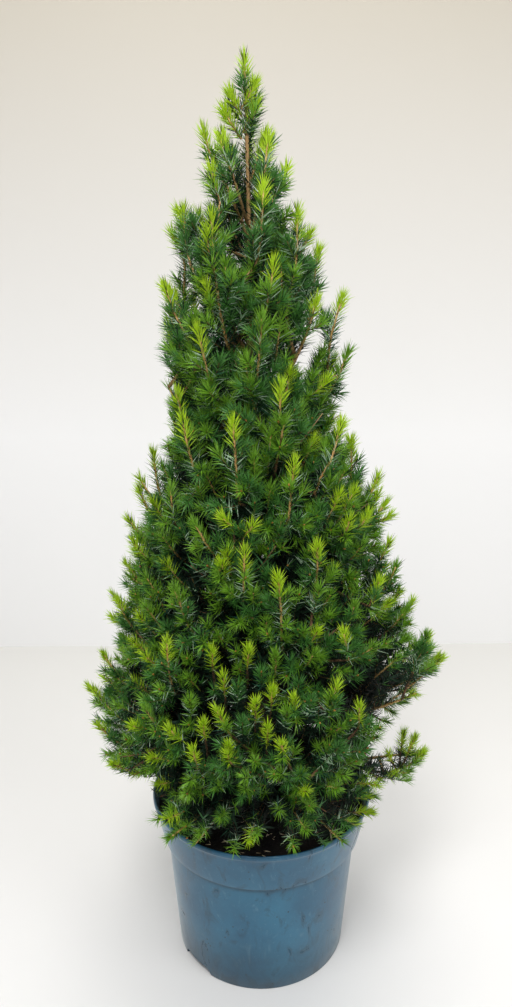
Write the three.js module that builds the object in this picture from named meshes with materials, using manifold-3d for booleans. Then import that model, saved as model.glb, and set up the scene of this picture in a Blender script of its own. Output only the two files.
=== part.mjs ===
// A potted dwarf Alberta spruce: a dense cone of upright shoots round one leaning trunk, in a plain
// round nursery pot filled with potting soil. Lengths are millimetres and angles are degrees.
// +Z is up, the front is -Y, and the origin is the centre of the pot's flat underside.
import * as THREE from "three";
import { mergeVertices } from "three/addons/utils/BufferGeometryUtils.js";
import Module from "manifold-3d";

const wasm = await Module();
wasm.setup();

// ---- Driving dimensions -------------------------------------------------------------------------

const CLEARANCE = 0.3; // kept between two pieces that touch
const SEED = 7;

const POT = {
  sides: 36,
  height: 180,
  rimRadius: 115,
  bandFoot: 134.5, // height of the lower edge of the broad band under the rim
  bandRadius: 105.7,
  neckRadius: 101,
  footRadius: 90,
  wall: 2.4,
  floor: 3,
  padRadius: 58, // the flat pad that the pot stands on
  channelTop: 8, // height of the ring-shaped drainage channel between the pad and the foot
  footWidth: 4.5,
};
const NOTCH = { count: 2, width: 42, height: 8, azimuth: -139 };
const DRAIN = { count: 6, radius: 5, ring: 73, sides: 6 };

const SOIL = { edge: 165, top: 170, flatRadius: 24 };

const TRUNK = {
  sides: 10,
  steps: 10,
  top: 716,
  footRadius: 9,
  flare: 4.5, // how much the root flare adds at the ground
  flareHeight: 22,
  topRadius: 2.4,
  lean: -17, // sideways at the crown's top
  sway: 2.5,
};

// The crown's outline: height above the ground that the pot stands on, then the radius round the
// trunk on the left (-X) and on the right (+X).
const CROWN = [
  [184, 80, 78],
  [192, 138, 140],
  [212, 163, 176],
  [250, 174, 164],
  [292, 180, 168],
  [335, 166, 186],
  [395, 142, 152],
  [460, 134, 126],
  [520, 112, 116],
  [565, 88, 94],
  [640, 88, 84],
  [700, 82, 68],
  [750, 66, 54],
  [800, 44, 36],
  [845, 22, 20],
  [886, 5, 5],
];
// How far the shoots lean out from upright, by height.
const LEAN = [
  [184, 94],
  [235, 78],
  [300, 56],
  [380, 40],
  [500, 28],
  [650, 16],
  [800, 7],
  [886, 2],
];

// The boughs' storeys, from the ground up. A bough leaves the trunk `rise` below its own tip, and
// its mass of foliage starts at the share `bare` of its length. Spires have no bough of their own.
const STOREYS = [
  { name: "skirt", count: 6, tip: 212, zigzag: 3, rise: 22, bare: 0.42, first: 4 },
  { name: "low", count: 6, tip: 306, zigzag: 20, rise: 66, bare: 0.42, first: -12 },
  { name: "middle", count: 5, tip: 405, zigzag: 16, rise: 110, bare: 0.38, first: 10 },
  { name: "high", count: 5, tip: 508, zigzag: 18, rise: 135, bare: 0.36, first: 46 },
  { name: "upper", count: 4, tip: 618, zigzag: 20, rise: 135, bare: 0.34, first: 20 },
  { name: "spire", count: 4, tip: 722, zigzag: 26, rise: 112, bare: 0, first: 62 },
];
const BOUGH = { sides: 5, steps: 4, rootRadius: 4.6, tipRadius: 1.5, bend: 0.55, apart: 14 };

// One spray stands for each of the crown's small spires, besides the one that ends each stem.
// Its teeth are shorter towards the top of the crown, like the spray itself.
const SPRAY = {
  count: 60,
  length: 72, // of the stretch that carries teeth
  topLength: 42, // the same, at the top of the crown
  coreRadius: 2,
  levels: 4,
  sides: 3,
  twist: 28,
  tooth: 0.27, // of the spray's length
  toothLean: 56, // from the shoot's own direction, at its foot
  toothLeanTip: 26,
  raggedness: 8,
  hollow: 16, // how much lower the crown's surface lies between two masses
  hollowReach: 34,
};
// How deep a core lies under the crown's surface: more where the shoots lean out further.
const CORE = {
  reach: 80,
  depth: 18,
  leanDepth: 24,
  depthShare: 0.42,
  border: 1.5,
  limbGap: 3,
  // Tried in turn until the core is clear of everything round it: its size, and with tufts or without.
  sizes: [[1, true], [0.94, true], [0.88, true], [0.8, true], [0.8, false], [0.7, false]],
};
// The core's outer faces are drawn out into pointed tufts, as long as the space leaves room for.
const TUFT = { longest: 46, shortest: 16, depth: 6, room: 2, lean: 0.3 };
// Sky shows through the crown between the low arm on the right and the bough above it.
const GAPS = [
  { from: [118, -60, 274], to: [139, 60, 201], radius: 12 },
  { from: [129, -60, 291], to: [152, 60, 220], radius: 10 },
  { from: [143, -60, 304], to: [168, 60, 236], radius: 11 },
];
const BORDER = 0.5; // half the gap between the spaces of two neighbouring masses

// ---- Small helpers ------------------------------------------------------------------------------

const radians = THREE.MathUtils.degToRad;
const GOLDEN_ANGLE = 180 * (3 - Math.sqrt(5));
const UP = new THREE.Vector3(0, 0, 1);

// The same numbers in every run: a linear congruential generator.
function seeded(seed) {
  let state = seed >>> 0;
  return () => {
    state = (Math.imul(state, 1664525) + 1013904223) >>> 0;
    return state / 4294967296;
  };
}

function interpolate(stations, x) {
  const last = stations.length - 1;
  if (x <= stations[0][0]) return stations[0][1];
  for (let i = 0; i < last; i++) {
    const [x0, y0] = stations[i];
    const [x1, y1] = stations[i + 1];
    if (x <= x1) return y0 + ((y1 - y0) * (x - x0)) / (x1 - x0);
  }
  return stations[last][1];
}

function outward(azimuth) {
  return new THREE.Vector3(Math.cos(radians(azimuth)), Math.sin(radians(azimuth)), 0);
}

function solidOf(geometry) {
  const bare = geometry.index ? geometry.toNonIndexed() : geometry.clone();
  bare.deleteAttribute("normal");
  bare.deleteAttribute("uv");
  const merged = mergeVertices(bare, 1e-4);
  return new wasm.Manifold(
    new wasm.Mesh({
      numProp: 3,
      vertProperties: merged.attributes.position.array,
      triVerts: new Uint32Array(merged.index.array),
    }),
  );
}

function geometryOf(solid) {
  const { numProp, numVert, vertProperties, triVerts } = solid.getMesh();
  const position = new Float32Array(numVert * 3);
  for (let i = 0; i < numVert; i++) {
    position.set(vertProperties.subarray(i * numProp, i * numProp + 3), i * 3);
  }
  const geometry = new THREE.BufferGeometry();
  geometry.setAttribute("position", new THREE.BufferAttribute(position, 3));
  geometry.setIndex(new THREE.BufferAttribute(triVerts, 1));
  return geometry;
}

// A closed skin over rings of points that run from foot to tip. raise(level, side) may return an
// apex that lifts that face into a needle; without one the face stays flat.
function skin(rings, { raise = () => null, tip = null } = {}) {
  const sides = rings[0].length;
  const triangles = [];
  const put = (...corners) => corners.forEach((c) => triangles.push(c.x, c.y, c.z));
  for (let level = 0; level + 1 < rings.length; level++) {
    for (let side = 0; side < sides; side++) {
      const next = (side + 1) % sides;
      const [lower, upper] = [rings[level], rings[level + 1]];
      const corners = [lower[side], lower[next], upper[next], upper[side]];
      const apex = raise(level, side, corners);
      if (apex) {
        corners.forEach((corner, i) => put(corner, corners[(i + 1) % 4], apex));
      } else {
        put(corners[0], corners[1], corners[2]);
        put(corners[0], corners[2], corners[3]);
      }
    }
  }
  const foot = rings[0];
  const last = rings[rings.length - 1];
  for (let side = 1; side + 1 < sides; side++) put(foot[0], foot[side + 1], foot[side]);
  if (tip) {
    for (let side = 0; side < sides; side++) put(last[side], last[(side + 1) % sides], tip);
  } else {
    for (let side = 1; side + 1 < sides; side++) put(last[0], last[side], last[side + 1]);
  }
  const geometry = new THREE.BufferGeometry();
  geometry.setAttribute("position", new THREE.Float32BufferAttribute(triangles, 3));
  return geometry;
}

// Two directions across a shoot, which turn smoothly as it bends.
function across(direction) {
  const sideways = new THREE.Vector3(0.31, -0.95, 0.07).cross(direction).normalize();
  return [sideways, direction.clone().cross(sideways)];
}

function ringAt(centre, direction, radius, sides, turn = 0) {
  const [a, b] = across(direction);
  return Array.from({ length: sides }, (_, side) => {
    const angle = radians(turn + (360 * side) / sides);
    return centre
      .clone()
      .addScaledVector(a, radius * Math.cos(angle))
      .addScaledVector(b, radius * Math.sin(angle));
  });
}

// ---- Pot and soil -------------------------------------------------------------------------------

function lathe(profile) {
  const points = profile.map(([radius, height]) => new THREE.Vector2(radius, height));
  return new THREE.LatheGeometry(points, POT.sides).rotateX(Math.PI / 2);
}

// The pot's inside, from the middle of its floor up to the level asked for, drawn in by `gap`.
function potInside(level, gap) {
  const { wall, bandFoot, neckRadius, bandRadius, footRadius, floor, padRadius, channelTop } = POT;
  const ledge = channelTop + floor;
  const taper = (height) => footRadius + ((neckRadius - footRadius) * height) / bandFoot;
  return [
    [0, floor + gap],
    [padRadius - floor - gap, floor + gap],
    [padRadius - gap, ledge + gap],
    [taper(ledge) - wall - gap, ledge + gap],
    [neckRadius - wall - gap, bandFoot - wall],
    [bandRadius - wall - gap, bandFoot + wall],
    [innerRadius(level) - gap, level],
  ];
}

function innerRadius(height) {
  const share = (height - POT.bandFoot) / (POT.height - POT.bandFoot);
  return POT.bandRadius + share * (POT.rimRadius - POT.bandRadius) - POT.wall;
}

function pot() {
  const { height, rimRadius, bandFoot, bandRadius, neckRadius, footRadius } = POT;
  const outside = [
    [0, 0],
    [POT.padRadius, 0],
    [POT.padRadius + POT.floor, POT.channelTop],
    [footRadius - POT.footWidth - 1, POT.channelTop],
    [footRadius - POT.footWidth, 0],
    [footRadius, 0],
    [neckRadius, bandFoot - 2],
    [bandRadius, bandFoot],
    [rimRadius, height],
  ];
  const inside = potInside(height, 0).reverse();
  let solid = solidOf(lathe([...outside, ...inside]));
  const notch = new THREE.BoxGeometry(2 * POT.footWidth + 6, NOTCH.width, 2 * NOTCH.height)
    .translate(footRadius - POT.footWidth / 2, 0, 0);
  for (let i = 0; i < NOTCH.count; i++) {
    const turned = notch.clone().rotateZ(radians(NOTCH.azimuth + (360 * i) / NOTCH.count));
    solid = solid.subtract(solidOf(turned));
  }
  const drain = new THREE.CylinderGeometry(DRAIN.radius, DRAIN.radius, 4 * POT.floor, DRAIN.sides)
    .rotateX(Math.PI / 2)
    .translate(DRAIN.ring, 0, POT.channelTop + POT.floor / 2);
  for (let i = 0; i < DRAIN.count; i++) {
    const turned = drain.clone().rotateZ(radians((360 * (i + 0.5)) / DRAIN.count));
    solid = solid.subtract(solidOf(turned));
  }
  return geometryOf(solid);
}

function soil() {
  const filled = potInside(SOIL.edge, CLEARANCE);
  return geometryOf(solidOf(lathe([...filled, [SOIL.flatRadius, SOIL.top], [0, SOIL.top]])));
}

// ---- Trunk and limbs ----------------------------------------------------------------------------

const GROUND = SOIL.top + CLEARANCE;
const CROWN_TOP = CROWN[CROWN.length - 1][0];

function trunkAt(height) {
  const share = (height - GROUND) / (CROWN_TOP - GROUND);
  const swing = 2 * Math.PI * share;
  return new THREE.Vector3(
    TRUNK.lean * share ** 1.2 + TRUNK.sway * Math.sin(1.4 * swing),
    TRUNK.sway * (Math.sin(swing + 1) - Math.sin(1)),
    height,
  );
}

function trunkRadius(height) {
  const share = Math.min(1, (height - GROUND) / (TRUNK.top - GROUND));
  const flare = TRUNK.flare * Math.exp(-(height - GROUND) / (TRUNK.flareHeight / 2));
  return TRUNK.footRadius + (TRUNK.topRadius - TRUNK.footRadius) * share ** 0.85 + flare;
}

function trunk(grow = 0) {
  const rings = [];
  for (let step = 0; step <= TRUNK.steps; step++) {
    const share = (step / TRUNK.steps) ** 1.35; // closer together in the root flare
    const height = GROUND + share * (TRUNK.top - GROUND);
    rings.push(ringAt(trunkAt(height), UP, trunkRadius(height) + grow, TRUNK.sides));
  }
  return solidOf(skin(rings));
}

const shootLean = (height) => interpolate(LEAN, height);

// The crown is a little fuller on one side, so its radius blends between the two by azimuth.
function crownRadius(height, azimuth) {
  const left = interpolate(CROWN.map(([z, radius]) => [z, radius]), height);
  const right = interpolate(CROWN.map(([z, , radius]) => [z, radius]), height);
  return (left + right) / 2 + ((right - left) / 2) * Math.cos(radians(azimuth));
}

// The way a shoot points at that height on that side of the crown.
function shootDirection(height, azimuth) {
  const lean = radians(shootLean(height));
  return outward(azimuth).multiplyScalar(Math.sin(lean)).addScaledVector(UP, Math.cos(lean));
}

function crownPoint(height, azimuth, depth = 0) {
  return trunkAt(height).addScaledVector(outward(azimuth), crownRadius(height, azimuth) - depth);
}

// Every limb is one curve from the trunk to the crown's surface. The share `bare` of it is the
// bough, and what is left is the stem of the mass.
function limbCurve(storey, height, azimuth) {
  const tip = crownPoint(height, azimuth);
  const root = trunkAt(height - storey.rise);
  const back = -BOUGH.bend * tip.distanceTo(root);
  const bend = tip.clone().addScaledVector(shootDirection(height, azimuth), back);
  return new THREE.QuadraticBezierCurve3(root, bend, tip);
}

// The least distance between two limbs, leaving out what lies inside the trunk.
function limbDistance(curve, other) {
  let least = Infinity;
  for (const point of curve.getSpacedPoints(30).slice(2)) {
    for (const rival of other.getSpacedPoints(30).slice(2)) {
      least = Math.min(least, point.distanceTo(rival));
    }
  }
  return least;
}

function growLimbs() {
  const random = seeded(SEED);
  const limbs = [];
  for (const storey of STOREYS) {
    for (let i = 0; i < storey.count; i++) {
      const place = storey.first + (360 * (i + 0.22 * (random() - 0.5))) / storey.count;
      const height = storey.tip + storey.zigzag * (i % 2 ? -1 : 1) + 8 * (random() - 0.5);
      // A limb that would crowd an earlier one is turned a little to one side of it.
      const turns = [0, 7, -7, 14, -14, 21, -21];
      const clear = (turn) => {
        const curve = limbCurve(storey, height, place + turn);
        return limbs.every((other) => limbDistance(curve, other.curve) > BOUGH.apart);
      };
      const azimuth = place + (turns.find(clear) ?? 0);
      limbs.push({
        name: `${storey.name}_${i + 1}`,
        storey,
        azimuth,
        height,
        bare: storey.bare,
        curve: limbCurve(storey, height, azimuth),
      });
    }
  }
  const foot = trunkAt(TRUNK.top + CLEARANCE);
  limbs.push({
    name: "leader",
    azimuth: 0,
    height: CROWN_TOP,
    bare: 0,
    curve: new THREE.QuadraticBezierCurve3(foot, trunkAt((TRUNK.top + CROWN_TOP) / 2), trunkAt(CROWN_TOP)),
  });
  return limbs;
}

function limbRadius(limb, share) {
  const bough = BOUGH.rootRadius * (limb.curve.getLength() / 190) ** 0.5;
  const thick = limb.bare > 0 ? bough : TRUNK.topRadius;
  return thick + (BOUGH.tipRadius - thick) * share ** 0.8;
}

function tube(limb, from, to, steps) {
  const rings = [];
  for (let step = 0; step <= steps; step++) {
    const share = from + ((to - from) * step) / steps;
    const centre = limb.curve.getPointAt(share);
    const direction = limb.curve.getTangentAt(share);
    rings.push(ringAt(centre, direction, limbRadius(limb, share), BOUGH.sides));
  }
  return solidOf(skin(rings));
}

// ---- Spaces -------------------------------------------------------------------------------------

// Distance from a point to a limb's stem, which starts where the bough ends.
function stemDistance(limb, point) {
  let least = Infinity;
  const stem = limb.stemPoints;
  for (let i = 0; i + 1 < stem.length; i++) {
    const a = stem[i];
    const b = stem[i + 1];
    const ux = b.x - a.x;
    const uy = b.y - a.y;
    const uz = b.z - a.z;
    const px = point.x - a.x;
    const py = point.y - a.y;
    const pz = point.z - a.z;
    const along = (px * ux + py * uy + pz * uz) / (ux * ux + uy * uy + uz * uz);
    const t = Math.min(1, Math.max(0, along));
    least = Math.min(least, Math.hypot(px - t * ux, py - t * uy, pz - t * uz));
  }
  return least;
}

// How far a point lies inside its mass's own space: the points nearer to its stem than to any other.
function roomInSpace(limb, point, limbs) {
  const own = stemDistance(limb, point);
  let nearest = Infinity;
  let neighbour = null;
  for (const other of limbs) {
    if (other === limb) continue;
    const distance = stemDistance(other, point);
    if (distance < nearest) {
      nearest = distance;
      neighbour = other;
    }
  }
  return { room: (nearest - own) / 2, neighbour };
}

function segmentDistance(point, from, to) {
  const line = new THREE.Line3(new THREE.Vector3(...from), new THREE.Vector3(...to));
  return line.closestPointToPoint(point, true, new THREE.Vector3()).distanceTo(point);
}

// Clear of the trunk, the boughs, the pot with its soil, and the crown's open gaps.
function clearOfLimbs(point, limbs, gap) {
  if (GAPS.some(({ from, to, radius }) => segmentDistance(point, from, to) < radius)) return false;
  if (point.z < TRUNK.top) {
    const height = Math.max(point.z, GROUND);
    const axis = trunkAt(height);
    if (Math.hypot(point.x - axis.x, point.y - axis.y) < trunkRadius(height) + gap) return false;
  }
  const fromAxis = Math.hypot(point.x, point.y);
  if (fromAxis < POT.rimRadius + 2 && point.z < POT.height + gap) return false;
  if (point.z < POT.bandFoot) return false;
  for (const limb of limbs) {
    for (let i = 0; i < limb.boughPoints.length; i++) {
      if (limb.boughPoints[i].distanceTo(point) < limbRadius(limb, (limb.bare * i) / 8) + gap) return false;
    }
  }
  return true;
}

// ---- Sprays -------------------------------------------------------------------------------------

// A slim core whose upper faces are drawn out into needles, along a curve.
function toothedShoot(curve, { toothedLength, footRadius, fits }) {
  const total = curve.getLength();
  const start = Math.min(0.85, Math.max(0.1, 1 - toothedLength / total));
  const levels = SPRAY.levels;
  const shares = [0, start];
  for (let level = 1; level <= levels; level++) shares.push(start + ((0.97 - start) * level) / levels);
  const rings = shares.map((share, i) => {
    const along = (share - start) / (1 - start);
    const radius = i < 1 ? footRadius : SPRAY.coreRadius * (1 - 0.45 * along);
    return ringAt(curve.getPointAt(share), curve.getTangentAt(share), radius, SPRAY.sides, SPRAY.twist * i);
  });
  const raise = (level, side, corners) => {
    if (level < 1) return null;
    const share = (shares[level] + shares[level + 1]) / 2;
    const along = (level - 0.5) / levels;
    const middle = corners.reduce((sum, c) => sum.add(c), new THREE.Vector3()).multiplyScalar(0.25);
    const direction = curve.getTangentAt(share);
    const out = middle.clone().sub(curve.getPointAt(share)).projectOnPlane(direction).normalize();
    const lean = radians(THREE.MathUtils.lerp(SPRAY.toothLean, SPRAY.toothLeanTip, along));
    const length = SPRAY.tooth * toothedLength * (0.8 + 0.3 * Math.sin(Math.PI * Math.min(1, along + 0.2)));
    const apex = middle
      .addScaledVector(out, length * Math.sin(lean))
      .addScaledVector(direction, length * Math.cos(lean));
    return fits(apex) ? apex : null;
  };
  return solidOf(skin(rings, { raise, tip: curve.getPointAt(1) }));
}

// Where the sprays end: dealt out evenly over the crown's surface on a golden-angle spiral, and
// closer together towards the top, where they are shorter.
function dealTips(count) {
  const random = seeded(SEED + 1);
  const areas = [0];
  for (let i = 0; i + 1 < CROWN.length; i++) {
    const [z0, r0] = CROWN[i];
    const [z1, r1] = CROWN[i + 1];
    const crowding = (SPRAY.length / sprayLength((z0 + z1) / 2)) ** 2;
    areas.push(areas[i] + crowding * Math.hypot(z1 - z0, r1 - r0) * (r0 + r1));
  }
  const whole = areas[areas.length - 1];
  return Array.from({ length: count }, (_, i) => {
    const area = (whole * (i + 0.5)) / count;
    const band = areas.findIndex((a) => a > area) - 1;
    const share = (area - areas[band]) / (areas[band + 1] - areas[band]);
    const height = CROWN[band][0] + share * (CROWN[band + 1][0] - CROWN[band][0]);
    return {
      height,
      azimuth: GOLDEN_ANGLE * i + 14 * (random() - 0.5),
      depth: SPRAY.raggedness * random(),
    };
  });
}

function sprayLength(height) {
  const share = (height - CROWN[0][0]) / (CROWN_TOP - CROWN[0][0]);
  return SPRAY.length + (SPRAY.topLength - SPRAY.length) * share;
}

// Moves a point towards its own stem until it lies `room` inside its mass's space.
function keepInSpace(limb, point, room, limbs) {
  for (let turn = 0; turn < 6; turn++) {
    const found = roomInSpace(limb, point, limbs);
    if (found.room >= room || !found.neighbour) break;
    const target = nearestOnStem(limb, point).point;
    point.lerp(target, Math.min(0.5, (room - found.room) / Math.max(1, point.distanceTo(target))));
  }
  return point;
}

function nearestOnStem(limb, point) {
  let best = { distance: Infinity };
  const line = new THREE.Line3();
  limb.stemPoints.slice(0, -1).forEach((from, i) => {
    line.set(from, limb.stemPoints[i + 1]);
    const along = line.closestPointToPointParameter(point, true);
    const nearest = line.at(along, new THREE.Vector3());
    const distance = nearest.distanceTo(point);
    const share = (i + along) / (limb.stemPoints.length - 1);
    if (distance < best.distance) best = { distance, point: nearest, share };
  });
  return best;
}

function stemShare(limb, share) {
  return limb.bare + (1 - limb.bare) * share;
}

// How deep a point lies under the crown's surface.
function depthInCrown(point) {
  const axis = trunkAt(point.z);
  const azimuth = THREE.MathUtils.radToDeg(Math.atan2(point.y - axis.y, point.x - axis.x));
  const radius = crownRadius(point.z, azimuth);
  return { radius, azimuth, depth: radius - Math.hypot(point.x - axis.x, point.y - axis.y) };
}

function insideCore(limb, point, limbs) {
  if (point.z > CROWN_TOP || point.z < POT.height + 5) return false;
  const { radius, depth } = depthInCrown(point);
  const wanted = CORE.depth + CORE.leanDepth * Math.sin(radians(shootLean(point.z)));
  if (depth < Math.min(wanted, CORE.depthShare * radius)) return false;
  if (roomInSpace(limb, point, limbs).room < CORE.border) return false;
  return clearOfLimbs(point, limbs, CORE.limbGap);
}

const BALL = mergeVertices(bareOf(new THREE.IcosahedronGeometry(1, 1)), 1e-4);

function bareOf(geometry) {
  const bare = geometry.clone();
  bare.deleteAttribute("normal");
  bare.deleteAttribute("uv");
  return bare;
}

// How far the core reaches from `middle` in each of the ball's directions.
function coreReach(limb, middle, limbs) {
  const ways = [];
  for (let i = 0; i < BALL.attributes.position.count; i++) {
    ways.push(new THREE.Vector3().fromBufferAttribute(BALL.attributes.position, i));
  }
  const reaches = ways.map((way) => {
    let reach = 3;
    for (let next = 6; next <= CORE.reach; next += 3) {
      if (!insideCore(limb, middle.clone().addScaledVector(way, next), limbs)) break;
      reach = next;
    }
    return reach;
  });
  const corners = ways.map((way, i) => way.multiplyScalar(reaches[i]));
  return { middle, corners, sum: reaches.reduce((a, b) => a + b) };
}

// The smaller body that the sprays of one mass stand out of. It fills the mass's own space from a
// point on the stem outwards, up to a set depth under the crown's surface.
function fitCore(limb, { middle, corners }, limbs) {
  const index = BALL.index.array;
  // A face that cuts across a limb or a neighbour is drawn in, by its own three corners alone.
  for (let round = 0; round < 12; round++) {
    let good = true;
    for (let f = 0; f < index.length; f += 3) {
      const face = [0, 1, 2].map((i) => corners[index[f + i]]);
      const samples = face.map((corner, i) => corner.clone().lerp(face[(i + 1) % 3], 0.5));
      samples.push(new THREE.Vector3().add(face[0]).add(face[1]).add(face[2]).divideScalar(3));
      if (samples.some((point) => !insideCore(limb, point.add(middle), limbs))) {
        face.forEach((corner) => corner.length() > 4 && corner.multiplyScalar(0.95));
        good = false;
      }
    }
    if (good) break;
  }
}

// The tip of the tuft that a face of the core is drawn out into, or null.
function tuftTip(limb, limbs, face) {
  const centre = new THREE.Vector3().add(face[0]).add(face[1]).add(face[2]).divideScalar(3);
  const normal = face[1].clone().sub(face[0]).cross(face[2].clone().sub(face[0]));
  const { azimuth } = depthInCrown(centre);
  if (normal.length() < 260) return null;
  normal.normalize();
  if (normal.dot(outward(azimuth)) + 0.3 * normal.z < TUFT.lean) return null;
  const way = shootDirection(centre.z, azimuth).multiplyScalar(3).add(normal).normalize();
  for (let length = TUFT.longest; length >= TUFT.shortest; length -= 3) {
    const tip = centre.clone().addScaledVector(way, length);
    const fits = depthInCrown(tip).depth > TUFT.depth && roomInSpace(limb, tip, limbs).room > TUFT.room;
    if (fits && clearOfLimbs(tip, limbs, CORE.limbGap)) return tip;
  }
  return null;
}

// The core with its tufts, or else a plain core drawn in evenly until it is clear of everything.
function clearCore(limb, limbs, obstacles) {
  const cores = [0.28, 0.42, 0.56].map((share) =>
    coreReach(limb, limb.curve.getPointAt(stemShare(limb, share)), limbs),
  );
  const index = BALL.index.array;
  for (const { middle, corners } of cores.sort((a, b) => b.sum - a.sum)) {
    fitCore(limb, { middle, corners }, limbs);
    for (const [size, tufted] of CORE.sizes) {
      const points = corners.map((corner) => middle.clone().addScaledVector(corner, size));
      const triangles = [];
      const put = (...vertices) => vertices.forEach((v) => triangles.push(v.x, v.y, v.z));
      for (let f = 0; f < index.length; f += 3) {
        const face = [0, 1, 2].map((i) => points[index[f + i]]);
        const tip = tufted ? tuftTip(limb, limbs, face) : null;
        if (tip) face.forEach((corner, i) => put(corner, face[(i + 1) % 3], tip));
        else put(...face);
      }
      const geometry = new THREE.BufferGeometry();
      geometry.setAttribute("position", new THREE.Float32BufferAttribute(triangles, 3));
      const body = solidOf(geometry);
      if (!overlaps(body, obstacles)) return body;
    }
  }
  return null;
}

// Sinks a spray's tip under the crown's surface near the border of its mass's space, so that each
// mass swells out a little between its neighbours.
function sinkTip(limb, tip, limbs) {
  const { room } = roomInSpace(limb, tip.point, limbs);
  const sunk = SPRAY.hollow * Math.max(0, 1 - room / SPRAY.hollowReach);
  const radius = crownRadius(tip.height, tip.azimuth);
  return crownPoint(tip.height, tip.azimuth, Math.min(0.4 * radius, tip.depth + sunk));
}

function overlaps(solid, others) {
  const box = solid.boundingBox();
  return others.some((other) => {
    const near = other.boundingBox();
    const apart = [0, 1, 2].some((i) => box.min[i] > near.max[i] || near.min[i] > box.max[i]);
    return !apart && solid.intersect(other).volume() > 0;
  });
}

// Whether a tooth may grow there: in its mass's own space, clear of the limbs and not buried.
function toothFits(limb, limbs) {
  return (apex) => clearPoint(limb, apex, limbs) && !insideCore(limb, apex, limbs);
}

function clearPoint(limb, point, limbs) {
  return roomInSpace(limb, point, limbs).room > BORDER && clearOfLimbs(point, limbs, 1.5);
}

// The stem of a mass, which carries on from its bough or the trunk and ends in a spray of its own.
function growStem(limb, limbs) {
  const start = limb.bare > 0 ? limb.bare + CLEARANCE / limb.curve.getLength() : 0;
  const points = Array.from({ length: 7 }, (_, i) => limb.curve.getPointAt(start + ((1 - start) * i) / 6));
  return toothedShoot(new THREE.CatmullRomCurve3(points), {
    toothedLength: sprayLength(limb.height),
    footRadius: limbRadius(limb, start),
    fits: toothFits(limb, limbs),
  });
}

function growMass(limb, limbs, stem, tips, obstacles) {
  const parts = [stem];
  const body = clearCore(limb, limbs, obstacles);
  if (body) parts.push(body);
  for (const tip of tips) {
    const end = keepInSpace(limb, sinkTip(limb, tip, limbs), 7, limbs);
    const length = sprayLength(tip.height);
    const foot = end.clone().addScaledVector(tip.direction, -length);
    keepInSpace(limb, foot, 9, limbs);
    const near = nearestOnStem(limb, foot);
    const root = limb.curve.getPointAt(stemShare(limb, Math.max(0.04, near.share - 0.25)));
    const curve = new THREE.QuadraticBezierCurve3(root, foot.clone().lerp(end, 0.12), end);
    const shoot = toothedShoot(curve, {
      toothedLength: Math.min(length, 0.86 * curve.getLength()),
      footRadius: 1.8,
      fits: toothFits(limb, limbs),
    });
    const leaves = [0.25, 0.5, 0.75, 1].some((share) => !clearPoint(limb, curve.getPointAt(share), limbs));
    if (!leaves && !overlaps(shoot, obstacles)) parts.push(shoot);
  }
  return parts.reduce((sum, part) => sum.add(part));
}

// ---- Assembly -----------------------------------------------------------------------------------

const FINISH = {
  pot: { color: 0x4f6b7b, roughness: 0.42, metalness: 0 },
  soil: { color: 0x1d1613, roughness: 1, metalness: 0 },
  bark: { color: 0x8a6a45, roughness: 0.9, metalness: 0 },
  foliage: { color: 0x2f6a2c, roughness: 0.6, metalness: 0 },
};

const plant = new THREE.Group();

function place(name, geometry, finish) {
  const mesh = new THREE.Mesh(geometry, new THREE.MeshStandardMaterial(FINISH[finish]));
  mesh.name = name;
  plant.add(mesh);
}

const limbs = growLimbs();
for (const limb of limbs) {
  const steps = 8;
  const span = (from, to) =>
    Array.from({ length: steps + 1 }, (_, i) => limb.curve.getPointAt(from + ((to - from) * i) / steps));
  limb.boughPoints = limb.bare > 0 ? span(0, limb.bare) : [];
  limb.stemPoints = span(limb.bare, 1);
}

place("pot", pot(), "pot");
place("soil", soil(), "soil");
place("trunk", geometryOf(trunk()), "bark");

const grownTrunk = trunk(CLEARANCE);
const boughs = [];
for (const limb of limbs.filter((l) => l.bare > 0)) {
  let bough = tube(limb, 0, limb.bare, BOUGH.steps).subtract(grownTrunk);
  bough = bough.decompose().sort((a, b) => b.volume() - a.volume())[0];
  boughs.push(bough);
  place(`bough_${limb.name}`, geometryOf(bough), "bark");
}

const tipsOf = new Map(limbs.map((limb) => [limb, []]));
for (const tip of dealTips(SPRAY.count)) {
  tip.point = crownPoint(tip.height, tip.azimuth, tip.depth);
  tip.direction = shootDirection(tip.height, tip.azimuth);
  const middle = tip.point.clone().addScaledVector(tip.direction, -0.5 * sprayLength(tip.height));
  const owner = limbs.reduce((a, b) => (stemDistance(b, middle) < stemDistance(a, middle) ? b : a));
  tipsOf.get(owner).push(tip);
}
const stems = limbs.map((limb) => growStem(limb, limbs));
const masses = [];
limbs.forEach((limb, i) => {
  // A stem that starts inside the trunk is cut off at its bark once its mass is whole.
  const fromTrunk = limb.bare === 0 && limb.storey;
  const others = stems.filter((_, j) => j !== i);
  const obstacles = [...boughs, ...others, ...masses, ...(fromTrunk ? [] : [grownTrunk])];
  let mass = growMass(limb, limbs, stems[i], tipsOf.get(limb), obstacles);
  if (fromTrunk) mass = mass.subtract(grownTrunk);
  mass = mass.decompose().sort((a, b) => b.volume() - a.volume())[0];
  masses.push(mass);
  place(`foliage_${limb.name}`, geometryOf(mass), "foliage");
});

export default plant;
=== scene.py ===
# %% [markdown]
# # A dwarf spruce in a nursery pot
# The plant is a dense cone of upright shoots round one trunk, in a blue-grey pot of potting soil.
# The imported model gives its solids: a pot, soil, a trunk, boughs, and one mass of foliage for each
# bough. Here every mass becomes real twigs with needles. They could be placed by hand, but a
# spruce follows a rule, so the rule that grew the solids is written again and carried on to finer
# twigs. All sizes in the rule are millimetres; meshes are made in metres at the very end.

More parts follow.
